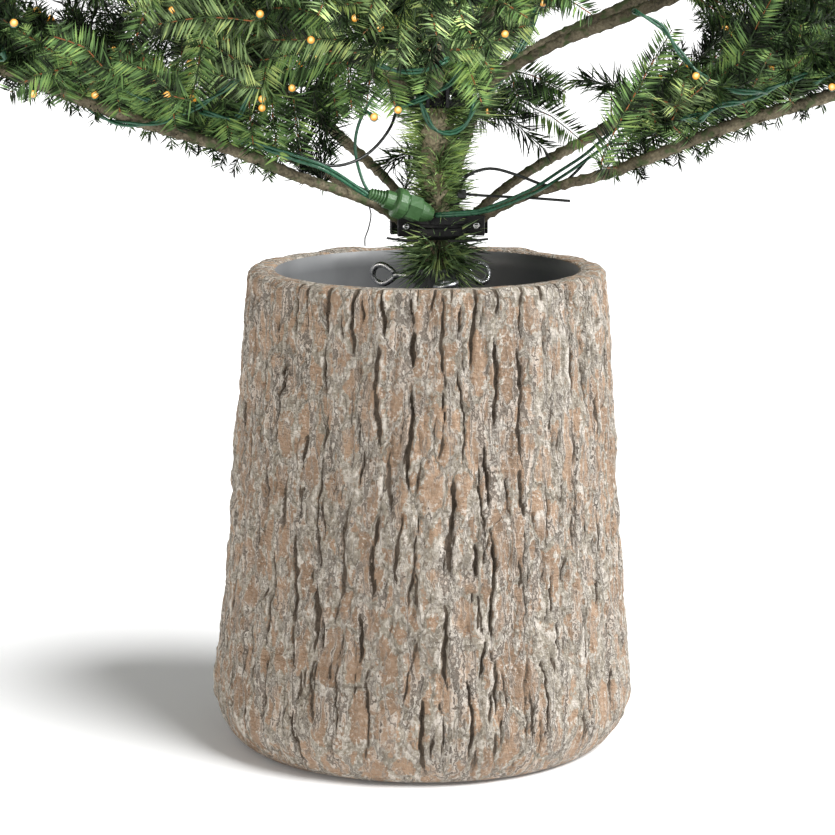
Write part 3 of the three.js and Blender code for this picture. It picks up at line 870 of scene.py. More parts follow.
def sweep_tree():
    """Round wires along strands, as thick as each point says"""
    sockets = [("Material", "Material", None), ("Sides", "Int", 5)]
    tree, source, sink = node_tree("Wires along strands", sockets)
    curve = tree.add("GeometryNodeMeshToCurve", {"Mesh": source["Geometry"]})["Curve"]
    ring = tree.add("GeometryNodeCurvePrimitiveCircle", {"Resolution": source["Sides"], "Radius": 1.0})
    swept = tree.add("GeometryNodeCurveToMesh", {
        "Curve": curve, "Profile Curve": ring["Curve"],
        "Scale": tree.named("thickness", "FLOAT"), "Fill Caps": True,
    })["Mesh"]
    finish_tree(tree, swept, source, sink)
    return tree


def setting_tree():
    """Copies of one part set on points, each with its Z along its point's direction"""
    sockets = [("Part", "Object", None), ("Material", "Material", None)]
    tree, source, sink = node_tree("Parts set on points", sockets)
    ahead = {"Vector": tree.named("ahead", "FLOAT_VECTOR")}
    turned = tree.add("FunctionNodeAlignRotationToVector", ahead, axis="Z")["Rotation"]
    part = tree.add("GeometryNodeObjectInfo", {"Object": source["Part"]})["Geometry"]
    copies = tree.add("GeometryNodeInstanceOnPoints", {
        "Points": source["Geometry"], "Instance": part, "Rotation": turned,
        "Scale": tree.named("size", "FLOAT"),
    })["Instances"]
    finish_tree(tree, copies, source, sink)
    return tree


def tree_named(name, make):
    return bpy.data.node_groups.get(name) or make().tree


def grown_mesh(obj, tree, values, smooth_shading=False):
    """Runs a modifier tree on an object and keeps its result as a plain mesh"""
    modifier = obj.modifiers.new("Growth", "NODES")
    modifier.node_group = tree
    sockets = [item for item in tree.interface.items_tree if item.in_out == "INPUT"]
    identifiers = {socket.name: socket.identifier for socket in sockets}
    for key, value in values.items():
        modifier[identifiers[key]] = value
    obj.update_tag()
    graph = bpy.context.evaluated_depsgraph_get()
    mesh = bpy.data.meshes.new_from_object(obj.evaluated_get(graph), depsgraph=graph)
    obj.modifiers.remove(modifier)
    skeleton = obj.data
    obj.data = mesh
    mesh.name = obj.name
    bpy.data.meshes.remove(skeleton)
    for key in ("ahead", "facing", "size", "thickness"):
        if key in mesh.attributes:
            mesh.attributes.remove(mesh.attributes[key])
    mesh.polygons.foreach_set("use_smooth", np.full(len(mesh.polygons), smooth_shading))
    if not len(mesh.polygons):
        raise RuntimeError(f"{obj.name} came out empty")
    return obj


def template(name, points, faces, core=None):
    """A part for Geometry Nodes to copy, with a value at each point if wanted; it is removed after that"""
    mesh = bpy.data.meshes.new(name)
    mesh.from_pydata(points, [], faces)
    if core is not None:
        mesh.attributes.new("core", "FLOAT", "POINT").data.foreach_set("value", np.asarray(core, np.float32))
    return linked(name, mesh)


def remove_template(obj):
    mesh = obj.data
    bpy.data.objects.remove(obj)
    bpy.data.meshes.remove(mesh)


def fix(obj, nodes=()):
    """Ties a finished piece to the frame"""
    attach(obj, "root")
    if nodes:
        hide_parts(*nodes)


# Needles that stand out every way: they keep to no rows, and their blades turn as they like
LOOSE = (0.0, 1.5)


def needles_on(strands, name, needle, material, sizes, stance, seed, nodes=()):
    """Needles along strands, as one piece. Their sizes are spacing, length and width. Their stance is the
    lean and its spread in degrees, how far they keep to two rows, and how far their blades turn."""
    lean, spread, rows, turn = stance
    values = dict(zip(("Spacing", "Length", "Width"), sizes))
    values.update({"Needle": needle, "Material": material, "Lean": radians(lean),
                   "Lean spread": radians(spread), "Rows": rows, "Blade turn": turn, "Seed": seed})
    tree = tree_named("Needles along twigs", needle_tree)
    fix(grown_mesh(strands.object(name), tree, values), nodes)


def wires_on(strands, name, material, sides, nodes=()):
    """Round wires along strands, as one piece"""
    tree = tree_named("Wires along strands", sweep_tree)
    fix(grown_mesh(strands.object(name), tree, {"Material": material, "Sides": sides}, True), nodes)


def parts_on(strands, name, profile, material, core=None):
    """Copies of a turned part on the strands' points, as one piece, with core(height) for its finish"""
    points, faces = lathe(profile[::-1], 10)
    part = template(name + "_part", points, faces, core and [core(p[2]) for p in points])
    tree = tree_named("Parts set on points", setting_tree)
    fix(grown_mesh(strands.object(name), tree, {"Part": part, "Material": material}, True))
    remove_template(part)


def nodes_like(*words):
    """The names of the frame's nodes that start with one of the words"""
    return sorted(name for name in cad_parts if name.startswith(words))


# Settings

def amount(name, description, default, make=bpy.props.FloatProperty, **options):
    return make(name=name, description=description, default=default, **options)


def whole(name, description, default):
    return amount(name, description, default, bpy.props.IntProperty, min=0)


def metres(name, description, default):
    return amount(name, description, default, min=0.0, precision=5, unit="LENGTH")


def degrees(name, description, default):
    return amount(name, description, radians(default), subtype="ANGLE")


def hue(name, description, default):
    return amount(name, description, default, bpy.props.FloatVectorProperty, size=3, min=0.0, max=1.0,
                  subtype="COLOR")


class PotSettings(bpy.types.PropertyGroup):
    height: metres("Height", "From the floor to the rim's highest bark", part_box("pot")[1].z + 0.003)
    foot_radius: metres("Foot radius", "Radius of the flat underside", 0.15)
    bulge_radius: metres("Bulge radius", "Widest radius, just above the foot", 0.178)
    bulge_height: metres("Bulge height", "Height of the widest ring", 0.046)
    rim_radius: metres("Rim radius", "Outer radius at the rim", 0.15)
    wall: metres("Wall", "Thickness of the wall at the rim", 0.021)
    floor: metres("Floor", "Height of the floor inside", 0.04)
    lean: metres("Lean", "How far the rim stands to the right of the foot", 0.004)
    furrow_depth: metres("Furrow depth", "Depth of the deepest furrows", 0.0042)
    furrow_columns: whole("Furrow columns", "Columns of long furrows round the pot", 42)
    short_furrows: whole("Short furrows", "Number of short furrows between them", 420)
    wash_from: amount("Wash threshold", "How far bark stands out to be brushed", -0.13, min=-1.0, max=1.0)
    plate_colour: hue("Plates", "Tan of the smooth bark plates", (0.312, 0.214, 0.143))
    rust_colour: hue("Rust", "Warmer brown in places", (0.262, 0.165, 0.102))
    wash_colour: hue("Wash", "Pale paint brushed over the bark", (0.63, 0.58, 0.52))
    moss_colour: hue("Grey wash", "Grey-green of the wash where it is thin", (0.292, 0.268, 0.218))
    furrow_colour: hue("Furrow", "Dark of the furrows", (0.1, 0.076, 0.055))
    inside_colour: hue("Inside", "Grey of the inner wall", (0.158, 0.162, 0.166))


class FoliageSettings(bpy.types.PropertyGroup):
    needle_length: metres("Needle length", "Length of the thin film needles", 0.03)
    needle_width: metres("Needle width", "Width of the thin film needles", 0.0015)
    frond_length: metres("Frond needle length", "Length of the moulded needles", 0.022)
    frond_width: metres("Frond needle width", "Width of the moulded needles", 0.0018)
    deep_colour: hue("Deep", "Dark green of the film needles", (0.025, 0.05, 0.017))
    green_colour: hue("Green", "Green of most moulded needles", (0.096, 0.176, 0.058))
    pale_colour: hue("Pale", "Grey-green of the youngest fronds", (0.205, 0.3, 0.125))
    tuft_colour: hue("Tuft needles", "Green of the tuft below the lowest collar", (0.165, 0.255, 0.118))
    # Painted light: the tinsel's olive is set lighter to stand in for light on the trunk, which the crown
    # shades
    tinsel_colour_with_painted_light: hue("Tinsel", "Olive green of the tinsel on the trunk", (0.25, 0.375, 0.15))
    twig_colour: hue("Twigs", "Red-brown of the knots on moulded twigs", (0.3, 0.1, 0.03))
    wire_colour: hue("Twisted wire", "Dark green of the twisted wires", (0.035, 0.045, 0.022))
    tape_colour: hue("Tape", "Olive tan of the tape on boughs and trunk", (0.15, 0.128, 0.085))


class LightSettings(bpy.types.PropertyGroup):
    cable_radius: metres("Cable radius", "Radius of one strand of the light cable", 0.00095)
    cable_colour: hue("Cable", "Green of the light cable", (0.024, 0.1, 0.054))
    plug_colour: hue("Connector", "Green of the connector", (0.052, 0.125, 0.044))
    bulb_spacing: metres("Bulb spacing", "Distance between bulbs along a cable", 0.085)
    bulb_colour: hue("Bulb", "Gold of a lit bulb", (1.0, 0.56, 0.13))
    rim_colour: hue("Bulb sides", "Amber of a bulb's sides", (0.62, 0.25, 0.03))
    bulb_strength: amount("Glow", "Brightness of a bulb", 1.2, min=0.0)


class StageSettings(bpy.types.PropertyGroup):
    floor_colour: hue("Floor", "Near-white of the floor", (0.94, 0.94, 0.94))
    floor_glow: amount("Floor glow", "Light given by the lit floor", 0.06, min=0.0)
    sky_strength: amount("Sky", "Strength of the plain surroundings", 0.38, min=0.0)
    key_strength: amount("Key light", "Strength of the soft light from the right", 6.1, min=0.0)
    key_azimuth: degrees("Key azimuth", "Where the key light stands, from +X towards the camera", 26)
    key_height: degrees("Key height", "How high the key light stands", 34)
    key_softness: degrees("Key softness", "How wide the key light looks", 14)
    pot_strength: amount("Pot light", "Strength of the light on pot and floor", 5.5, min=0.0)
    pot_azimuth: degrees("Pot light azimuth", "Where the pot's stands, from +X towards the camera", 14)
    floor_azimuth: degrees("Floor light azimuth", "Where the floor's stands, likewise", 34)
    pot_height: degrees("Pot light height", "How high it stands", 46)
    pot_softness: degrees("Pot light softness", "How wide it looks", 36)
    fill_colour: hue("Fill colour", "Warmth of the light on the left", (1.0, 0.93, 0.84))
    fill_power: amount("Fill light", "Power of the light on the left", 28.0, min=0.0, unit="POWER")


# The pot

FURROW_SEED = 11
KNOT_TURN, KNOT_HEIGHT, KNOT_RADIUS = radians(222), 0.33, 0.021


def pot_radius(pot, z):
    """How far out the pot's outer face lies at each height, before the bark's relief"""
    low = 1 - np.clip(z / pot.bulge_height, 0, 1)
    foot = pot.foot_radius + (pot.bulge_radius - pot.foot_radius) * np.sqrt(1 - low ** 2)
    share = np.clip((z - pot.bulge_height) / (pot.height - pot.bulge_height), 0, 1) ** 0.92
    side = lerp(pot.bulge_radius, pot.rim_radius, share)
    return np.where(z < pot.bulge_height, foot, side)


def furrow_strokes(pot):
    """Strokes in uneven columns round the pot, end to end up each column, and short ones between them"""
    rng = np.random.default_rng(FURROW_SEED)
    strokes = []
    for column in range(pot.furrow_columns):
        home = 2 * pi * (column + rng.uniform(-0.32, 0.32)) / pot.furrow_columns
        z = rng.uniform(-0.05, 0.01)
        while z < pot.height:
            half = rng.uniform(0.01, 0.055)
            strokes.append((home + rng.normal(0, 0.028), z + half, half, rng.uniform(0.0009, 0.0026),
                            rng.uniform(0.35, 1.0)))
            z += 2 * half + rng.uniform(-0.01, 0.016)
    for _ in range(pot.short_furrows):
        half = rng.uniform(0.005, 0.022)
        strokes.append((rng.uniform(-pi, pi), rng.uniform(0.0, pot.height + 0.01), half,
                        rng.uniform(0.001, 0.0017), rng.uniform(0.3, 0.7)))
    return strokes


def furrows(turn, z, pot):
    """Slits that taper to both ends: the share of full depth, and a lip along their edges"""
    rng = np.random.default_rng(FURROW_SEED + 1)
    depth, lip = np.zeros(turn.shape), np.zeros(turn.shape)
    for centre, height, half, width, strength in furrow_strokes(pot):
        tilt, phase = rng.normal(0, 0.06), rng.uniform(0, 2 * pi)
        along = (z - height) / half
        offset = (turn - centre + pi) % (2 * pi) - pi
        near = (np.abs(along) < 1) & (np.abs(offset) < 0.12)
        if not near.any():
            continue
        s, level = along[near], z[near]
        wander = tilt * s * half + 0.0017 * np.sin(level / 0.012 + phase)
        wander += 0.0006 * np.sin(level / 0.0031 + 2 * phase)
        ragged = 1 + 0.24 * np.sin(level / 0.0021 + 5 * phase) + 0.22 * np.sin(level / 0.008 + 3 * phase)
        slit = width * ragged * (1 - s * s) ** 0.25 + 1e-5
        t = np.abs(offset[near] * pot.bulge_radius - wander) / slit
        cut = smooth(1.35 - t) * strength * (1 - s ** 6)
        edge = np.exp(-((t - 2.1) / 0.9) ** 2) * strength * (1 - s * s)
        depth[near] = np.maximum(depth[near], cut)
        lip[near] = np.maximum(lip[near], edge)
    return depth, lip * (1 - depth)


def valleys(noise, width):
    """1 along the lines where a noise passes through nought, and 0 away from them"""
    return np.exp(-(noise / width) ** 2)


def bark_relief(turn, z, pot):
    """The bark's height above the pot's plain face, with the masks that its paint follows"""
    u, v = turn / (2 * pi), z / (pot.height + 0.02)
    bent = u + 0.005 * sheet_noise(u, v, 16, 8, 1) + 0.0028 * sheet_noise(u, v, 44, 18, 2)
    plates = sheet_noise(bent, v, 50, 6, 3)
    slabs = sheet_noise(bent, v, 96, 15, 4)
    cords = sheet_noise(bent, v, 76, 5, 5)
    lumps = sheet_noise(u, v, 120, 44, 6)
    pits = sheet_noise(u, v, 250, 96, 7)
    vertical = sheet_noise(bent, v, 250, 22, 8)
    coarse = smooth(0.5 + 1.5 * sheet_noise(u, v, 9, 5, 9) - 0.6 * (v - 0.45))
    broken = smooth(0.5 + 1.4 * sheet_noise(u, v, 40, 16, 13))
    long_crease = valleys(plates, 0.04) * broken
    short_crease = valleys(slabs, 0.06) * smooth(0.55 + 1.3 * sheet_noise(u, v, 60, 24, 14))
    depth, lip = furrows(turn, z, pot)
    height = 0.0018 * np.abs(plates) + 0.0019 * cords + 0.0014 * np.abs(slabs) + 0.0011 * vertical
    height -= 0.0015 * long_crease + 0.0011 * short_crease
    height += coarse * (0.0013 * lumps + 0.0009 * pits) + (1 - coarse) * (0.0006 * lumps + 0.0003 * pits)
    across = ((turn - KNOT_TURN + pi) % (2 * pi) - pi) * pot.rim_radius
    knot = np.hypot(across / 1.15, z - KNOT_HEIGHT + 0.004 * sheet_noise(u, v, 40, 18, 10))
    knot_share = np.exp(-(knot / KNOT_RADIUS) ** 2)
    height += knot_share * (0.0022 * np.cos(knot / 0.003) + 0.0016 * pits)
    height += 0.0009 * lip - pot.furrow_depth * depth
    foot_share = smooth(z / pot.bulge_height)
    rim_share = smooth((pot.height - z) / 0.006)
    rings = 0.0007 * sheet_noise(u, np.clip(z / 0.06, 0, 1), 24, 20, 12) * (1 - smooth(z / 0.055))
    height = height * foot_share * lerp(0.55, 1.0, rim_share) + rings
    crease = np.maximum(0.3 * long_crease, 0.24 * short_crease * lerp(0.6, 1.0, coarse))
    furrow = np.maximum(np.maximum(depth, crease), knot_share * (0.3 + 0.3 * pits))
    raised = np.clip(0.42 + 0.5 * lip + 0.2 * lumps + 0.16 * cords + 0.14 * slabs + 0.18 * vertical, 0, 1)
    return height, furrow * lerp(0.25, 1.0, foot_share), raised, coarse * foot_share


class PottedTreePot(bpy.types.Operator):
    """Make the cast pot with its bark relief"""

    bl_idname = "potted_tree.pot"
    bl_label = "Bark pot"

    COLUMNS = 740
    ROWS = 116
    RIM_ROUNDING = 0.005
    INNER_LEVELS = (0.392, 0.36, 0.3, 0.2, 0.1)

    def execute(self, context):
        pot = context.scene.potted_tree_pot
        height, wall = pot.height, pot.wall
        turns = np.linspace(0, 2 * pi, self.COLUMNS, endpoint=False)
        levels = np.linspace(0, height, self.ROWS + 1)
        turn, z = np.meshgrid(turns, levels)
        relief, furrow, raised, rough = bark_relief(turn, z, pot)
        radius = pot_radius(pot, z) + relief
        rim_drop = np.clip((z - (height - self.RIM_ROUNDING)) / self.RIM_ROUNDING, 0, 1)
        radius -= 0.0035 * (1 - np.sqrt(1 - rim_drop ** 2))
        rim_wave = 0.0013 * sheet_noise(turns / (2 * pi), np.zeros(self.COLUMNS), 46, 1, 20)
        z[-1] += rim_wave
        rings = [(radius[i], z[i], furrow[i], raised[i], rough[i]) for i in range(self.ROWS + 1)]
        flat = np.zeros(self.COLUMNS)
        for share, drop in ((0.35, 0.0), (0.8, 0.0), (1.0, 0.0015)):
            inner = lerp(radius[-1], pot.rim_radius - wall, share)
            rings.append((inner, height + rim_wave * (1 - share) - drop, flat, flat + 0.55, flat + 0.3))
        rim_rings = len(rings)
        for level in (*self.INNER_LEVELS, pot.floor + wall):
            smooth_wall = pot_radius(pot, flat + level) - wall
            smooth_wall += 0.0004 * sheet_noise(turns / (2 * pi), flat + level * 2, 30, 12, 21)
            rings.append((smooth_wall, flat + level, flat, flat, flat))
        corner = pot_radius(pot, flat + pot.floor) - 2 * wall
        rings.append((corner, flat + pot.floor, flat, flat, flat))

        points, masks = [], []
        for ring_radius, ring_z, *mask in rings:
            x = ring_radius * np.cos(turns) + pot.lean * ring_z / height
            points.append(np.stack([x, ring_radius * np.sin(turns), ring_z], 1))
            masks.append(np.stack(mask, 1))
        points.append([[0, 0, 0], [pot.lean * pot.floor / height, 0, pot.floor]])
        masks.append(np.zeros((2, 3)))
        points, masks = np.concatenate(points), np.concatenate(masks)
        faces = ring_faces(len(rings), self.COLUMNS)
        kinds = [0 if i < (rim_rings - 1) * self.COLUMNS else 1 for i in range(len(faces))]
        under, inner = len(points) - 2, len(points) - 1
        last = (len(rings) - 1) * self.COLUMNS
        for k in range(self.COLUMNS):
            after = (k + 1) % self.COLUMNS
            faces += [(under, after, k), (inner, last + k, last + after)]
            kinds += [0, 1]
        inside = mottled("grey_inner_wall", pot.inside_colour, 0.16, 16, 0.55, grain=(1, 1, 0.5),
                         bump=0.0004, uneven=0.12)
        attributes = {"furrow": masks[:, 0], "raised": masks[:, 1], "rough": masks[:, 2]}
        finishes = [bark_finish(pot), inside]
        made = mesh_object("pot_bark", points, faces, finishes, kinds, True, attributes)
        fix(made, ["pot"])
        return {"FINISHED"}


# Trunk, collars and boughs

def tape_relief(pitch, step, seed):
    """Extra radius of tape wound in overlapping turns, with creases"""
    def relief(turn, along):
        phase = along / pitch + turn / (2 * pi) + 0.12 * sin(3 * turn + seed) + 0.1 * sin(along / 0.019)
        lap = step * (1 - (phase % 1.0)) ** 1.5
        crease = 0.22 * step * sin(along / 0.0021 + 2 * sin(turn + seed) + 5 * roll(seed + phase // 1))
        return lap + crease
    return relief


def tape_finish(name, colour):
    """Paper tape: olive tan in lighter and darker patches, brushed with green here and there, and black
    where it starts at a collar
    """
    material, tree = new_material(name, 0.85, 0.0, 0.25)
    patches = tree.noise(60, 3.0)
    fine = tree.noise(420, 2.0, (1, 1, 1), 0.65)
    both = tree.maths("ADD", tree.times(patches, 0.5), tree.times(fine, 0.5))
    stops = [(0.34, shade(colour, 0.34)), (0.46, shade(colour, 0.85)), (0.55, shade(colour, 1.25)),
             (0.68, shade(colour, 1.9))]
    taped = tree.ramp(both, stops)
    green = (colour[0] * 0.55, colour[1] * 0.85, colour[2] * 0.55)
    greened = tree.mix(tree.span(tree.noise(90, 2.0), 0.52, 0.66), taped, green)
    ended = tree.mix(tree.value("root"), greened, (0.012, 0.012, 0.012))
    tree.colour(ended)
    tree.bump(fine, 0.0006)
    return material


class PottedTreeTrunk(bpy.types.Operator):
    """Make the taped pole, its two collars with their hinges, and the hinge pins"""

    bl_idname = "potted_tree.trunk"
    bl_label = "Trunk and collars"

    def execute(self, context):
        foliage = context.scene.potted_tree_foliage
        tape = tape_finish("trunk_tape", foliage.tape_colour)
        low, high = np.arange(POLE_FOOT, POLE_JOINTS[0], 0.0045), np.arange(POLE_JOINTS[0], POLE_TOP, 0.012)
        heights = [*low, *high, POLE_TOP]
        path = [Vector((POLE_X, 0, z)) for z in heights]
        radii = [POLE_RADII[sum(z > joint for joint in POLE_JOINTS)] - 0.0011 for z in heights]
        shapes = Shapes()
        shapes.add(*tube(path, radii, 26, tape_relief(0.017, 0.0016, 3)), 0)
        strip = [Vector((POLE_X - 0.003 + 0.002 * sin(z / 0.017), -0.013 + 0.002 * sin(z / 0.011), z))
                 for z in (lerp(0.452, 0.64, i / 69) for i in range(70))]
        light_tape = tape_finish("crinkled_tape", shade(foliage.tape_colour, 1.7))
        shapes.add(*tube(strip, [0.0078] * len(strip), 18, tape_relief(0.015, 0.0042, 8)), 1)
        trunk = shapes.object("trunk", [tape, light_tape], "root")
        fix(trunk, ["trunk_pole"])

        plastic = mottled("black_plastic", (0.01, 0.01, 0.011), 0.35, 140, 0.55, bump=0.0003, specular=0.3,
                          uneven=0.1)
        collars, pins = Shapes(), Strands()
        for tier in TIERS[:2]:
            r, half = COLLAR_RADIUS - 0.003, COLLAR_HEIGHT / 2
            upper = [(r - 0.003, 0.001), (r, 0.002), (r, half - 0.002), (r - 0.002, half), (0.0225, half),
                     (0.02, half + 0.002), (0, half + 0.002)]
            profile = [(out, -z) for out, z in reversed(upper)] + upper
            collars.add(*lathe(profile, 40, at_pole(tier.hub)))
            for azimuth in tier.azimuths:
                turn = radians(azimuth)
                outward = Vector((cos(turn), sin(turn), 0))
                across = Vector((-sin(turn), cos(turn), 0))
                middle, place = Vector((POLE_X, 0, tier.hub)), at_pole(tier.hub, turn)
                for side in (-1, 1):
                    near, far = sorted((side * 0.0068, side * 0.0092))
                    collars.add(*box_between((0.022, near, -0.0085), (0.0405, far, 0.0085), place))
                    pins.dot(middle + outward * 0.034 + across * (side * 0.0092), across * side)
        made = collars.object("collars", [plastic], smooth_shading=False)
        fix(made, ["trunk_pole"])

        steel = mottled("pin_steel", (0.55, 0.55, 0.56), 0.12, 300, 0.25, metallic=1.0, uneven=0.08)
        eyelet = [(0, 0.001), (0.0012, 0.001), (0.0017, 0.0019), (0.0026, 0.0019), (0.0031, 0.0011),
                  (0.0031, 0.0), (0, 0.0)]
        parts_on(pins, "hinge_pins", eyelet, steel)
        return {"FINISHED"}


class PottedTreeBoughs(bpy.types.Operator):
    """Make the taped boughs and the stems that run on through the foliage"""

    bl_idname = "potted_tree.boughs"
    bl_label = "Boughs and stems"

    def execute(self, context):
        foliage = context.scene.potted_tree_foliage
        tape = tape_finish("bough_tape", foliage.tape_colour)
        groups = {band: Shapes() for band in BANDS}
        for limb in LIMBS:
            detailed = limb.tier.bough_end is not None
            path = smooth_path(limb.stem, 0.003 if detailed else 0.01)
            count = len(path)
            shares = np.linspace(0, 1, count)
            if detailed:
                radii = np.interp(shares, [0, 0.1, 0.25, 0.6, 1], [0.0036, 0.0034, 0.0043, 0.005, 0.0034])
                relief, sides = tape_relief(0.0125, 0.0013, limb.seed), 14
            else:
                radii = np.interp(shares, [0, 0.5, 1], [0.005, 0.0047, 0.003])
                relief, sides = tape_relief(0.014, 0.001, limb.seed), 8
            wobble = [0.0016 * sin(i * 0.11 + limb.seed) * min(1, 4 * s) for i, s in enumerate(shares)]
            path = [p + UP * w for p, w in zip(path, wobble)]
            points, faces = tube(path, radii, sides, relief)
            start = smooth(1 - np.arange(count) * 0.003 / 0.016) if detailed else np.zeros(count)
            groups[BAND_OF_TIER[limb.tier.name]].add(points, faces, 0, np.repeat(start, sides))
        for band, shapes in groups.items():
            words = [name for name, own in BAND_OF_TIER.items() if own == band]
            own, other = (nodes_like(*(word + part for word in words)) for part in ("_bough", "_foliage"))
            nodes = own or other
            fix(shapes.object("boughs_" + band, [tape], "root"), nodes)
        return {"FINISHED"}


# Foliage

KINDS = ("deep", "green", "pale")
PALE_SHARE, PALE_IN_FRONT, FILM_SHARE = 0.16, 0.34, 0.32


def kind_of(limb, index):
    """The kind of needles that a spray has: thin film, moulded, or moulded and pale"""
    draw = roll(limb.seed * 3.7 + index * 5.3 + 17)
    in_front = limb.tier.name == "second" and -sin(limb.azimuth) > 0.3
    pale = PALE_SHARE + (PALE_IN_FRONT if in_front else 0.0)
    return "pale" if draw < pale else "deep" if draw > 1 - FILM_SHARE else "green"


def arc(root, tip, bend, steps):
    """A twig that leaves its root straight and bends towards its tip"""
    return [root.lerp(tip, i / steps) + bend * sin(pi * i / steps) for i in range(steps + 1)]


# How far above a bough that shows its twigs stay, how much further for each metre in front of it, and how
# far below the others' line theirs may sink
TWIG_LIFT, FRONT_LIFT, BACK_SINK = 0.002, 0.22, 0.012


def kept_above(path, limb):
    """A twig of the lowest tier, held above its bough, and higher in front of a bough that shows"""
    if limb.tier is not TIERS[0]:
        return path
    line, out = line_of(limb.tier), Vector((cos(limb.azimuth), sin(limb.azimuth)))
    shows = out.y < 0
    kept = []
    for p in path:
        off = out.x * p.y - out.y * (p.x - POLE_X)
        front = max(0.0, -off if out.x > 0 else off) if shows else 0.0
        lift = TWIG_LIFT + FRONT_LIFT * front if shows else -BACK_SINK
        kept.append(Vector((p.x, p.y, max(p.z, limb.tier.hub + line(hypot(p.x - POLE_X, p.y)) + lift))))
    return kept


def twigs_of(spray, seed, fine):
    """A spray's twigs: its middle one, one to each tooth, and short ones out of the spray's plane"""
    across, face = spray_frame(spray)
    ahead, length = spray.direction, spray.length
    sag = face * (0.045 * length)
    twigs = [(arc(spray.root, spray.at(0.94), sag, 6), face, 1.0)]
    for along, side, spread, place in tooth_tips(spray):
        draw = [roll(seed + 1.7 * side + 7.9 * along + k) for k in range(3)]
        root = spray.at(max(0.015, along - 0.3 - 0.06 * draw[0])) + sag * 0.6
        lifted = place + face * ((draw[1] - 0.42) * 0.1 * length) - ahead * (0.02 * length)
        twigs.append((arc(root, lifted, face * (0.02 * length), 4), face, 0.92))
        if fine and draw[2] > 0.35:
            middle = spray.at(along - 0.1) + sag
            reach = spread * lerp(0.55, 0.8, draw[2])
            out = ahead * 0.9 + face * side * 0.8 + across * (side * 0.45 * (draw[0] - 0.2))
            twigs.append((arc(middle, middle + out.normalized() * reach, across * 0.002, 3), across, 0.8))
    return twigs


# Fronds that the photograph shows, by kind: pixels of the root, pixels of the tip, depth in millimetres
SEEN_FRONDS = {
    "pale": [
        (262, 19, 153, 25, -200), (432, 50, 266, 40, -140), (258, 68, 188, 44, -150),
        (262, 88, 192, 74, -160), (443, 32, 381, 5, -120), (488, 46, 534, 24, -100), (502, 38, 520, 2, -90),
    ],
    "green": [
        (372, 52, 262, 60, -130), (486, 40, 430, 3, -100), (452, 34, 482, 104, -60),
        (466, 38, 494, 78, -60), (438, 40, 424, 92, -70), (373, 62, 366, 114, -80),
        (381, 64, 396, 110, -70), (346, 54, 352, 112, -90), (341, 62, 268, 76, -120),
        (330, 20, 268, 8, -180), (350, 28, 440, 12, -150), (602, 160, 672, 30, -100),
        (735, 78, 771, 0, -100), (790, 96, 826, 38, -100), (672, 120, 742, 62, -90), (497, 68, 566, 92, 60),
        (520, 100, 583, 142, 60), (120, 70, 52, 36, -200), (190, 100, 120, 60, -200),
        (60, 70, 10, 92, -180), (268, 88, 278, 158, -60), (290, 92, 302, 162, -50),
        (246, 90, 254, 150, -70), (222, 96, 230, 144, -80), (110, 60, 120, 112, -140),
        (60, 62, 64, 98, -150), (165, 72, 176, 128, -120), (330, 84, 338, 120, -20),
        (272, 164, 214, 116, -40), (250, 158, 236, 104, -40), (222, 148, 166, 112, -60),
        (190, 134, 142, 102, -70), (622, 166, 690, 112, -10), (650, 158, 722, 108, -10),
        (684, 144, 760, 96, -20), (716, 134, 790, 84, -20), (640, 160, 640, 96, 0), (604, 172, 640, 130, 0),
    ],
    "deep": [
        (626, 96, 580, 80, 20), (474, 96, 545, 150, 60), (322, 180, 262, 118, -30),
        (314, 92, 330, 152, -30), (414, 156, 388, 164, 20), (300, 172, 300, 106, -20),
        (322, 176, 330, 118, -20),
    ],
}


def seen_fronds():
    """Each frond that shows, as a path from the nearest stem by way of its root to its tip, and its kind"""
    stems = [p for limb in LIMBS if limb.tier.bough_end for p in limb.stem]
    fronds = []
    for kind, rows in SEEN_FRONDS.items():
        for *pixels, depth in rows:
            root = seen_at(*pixels[:2], depth / 1000)
            tip = seen_at(*pixels[2:], depth / 1000 - 0.02)
            carrier = min(stems, key=lambda p: (p - root).length)
            fronds.append((smooth_path([carrier, root, root.lerp(tip, 0.5) + UP * 0.004, tip], 0.012), kind))
    return fronds


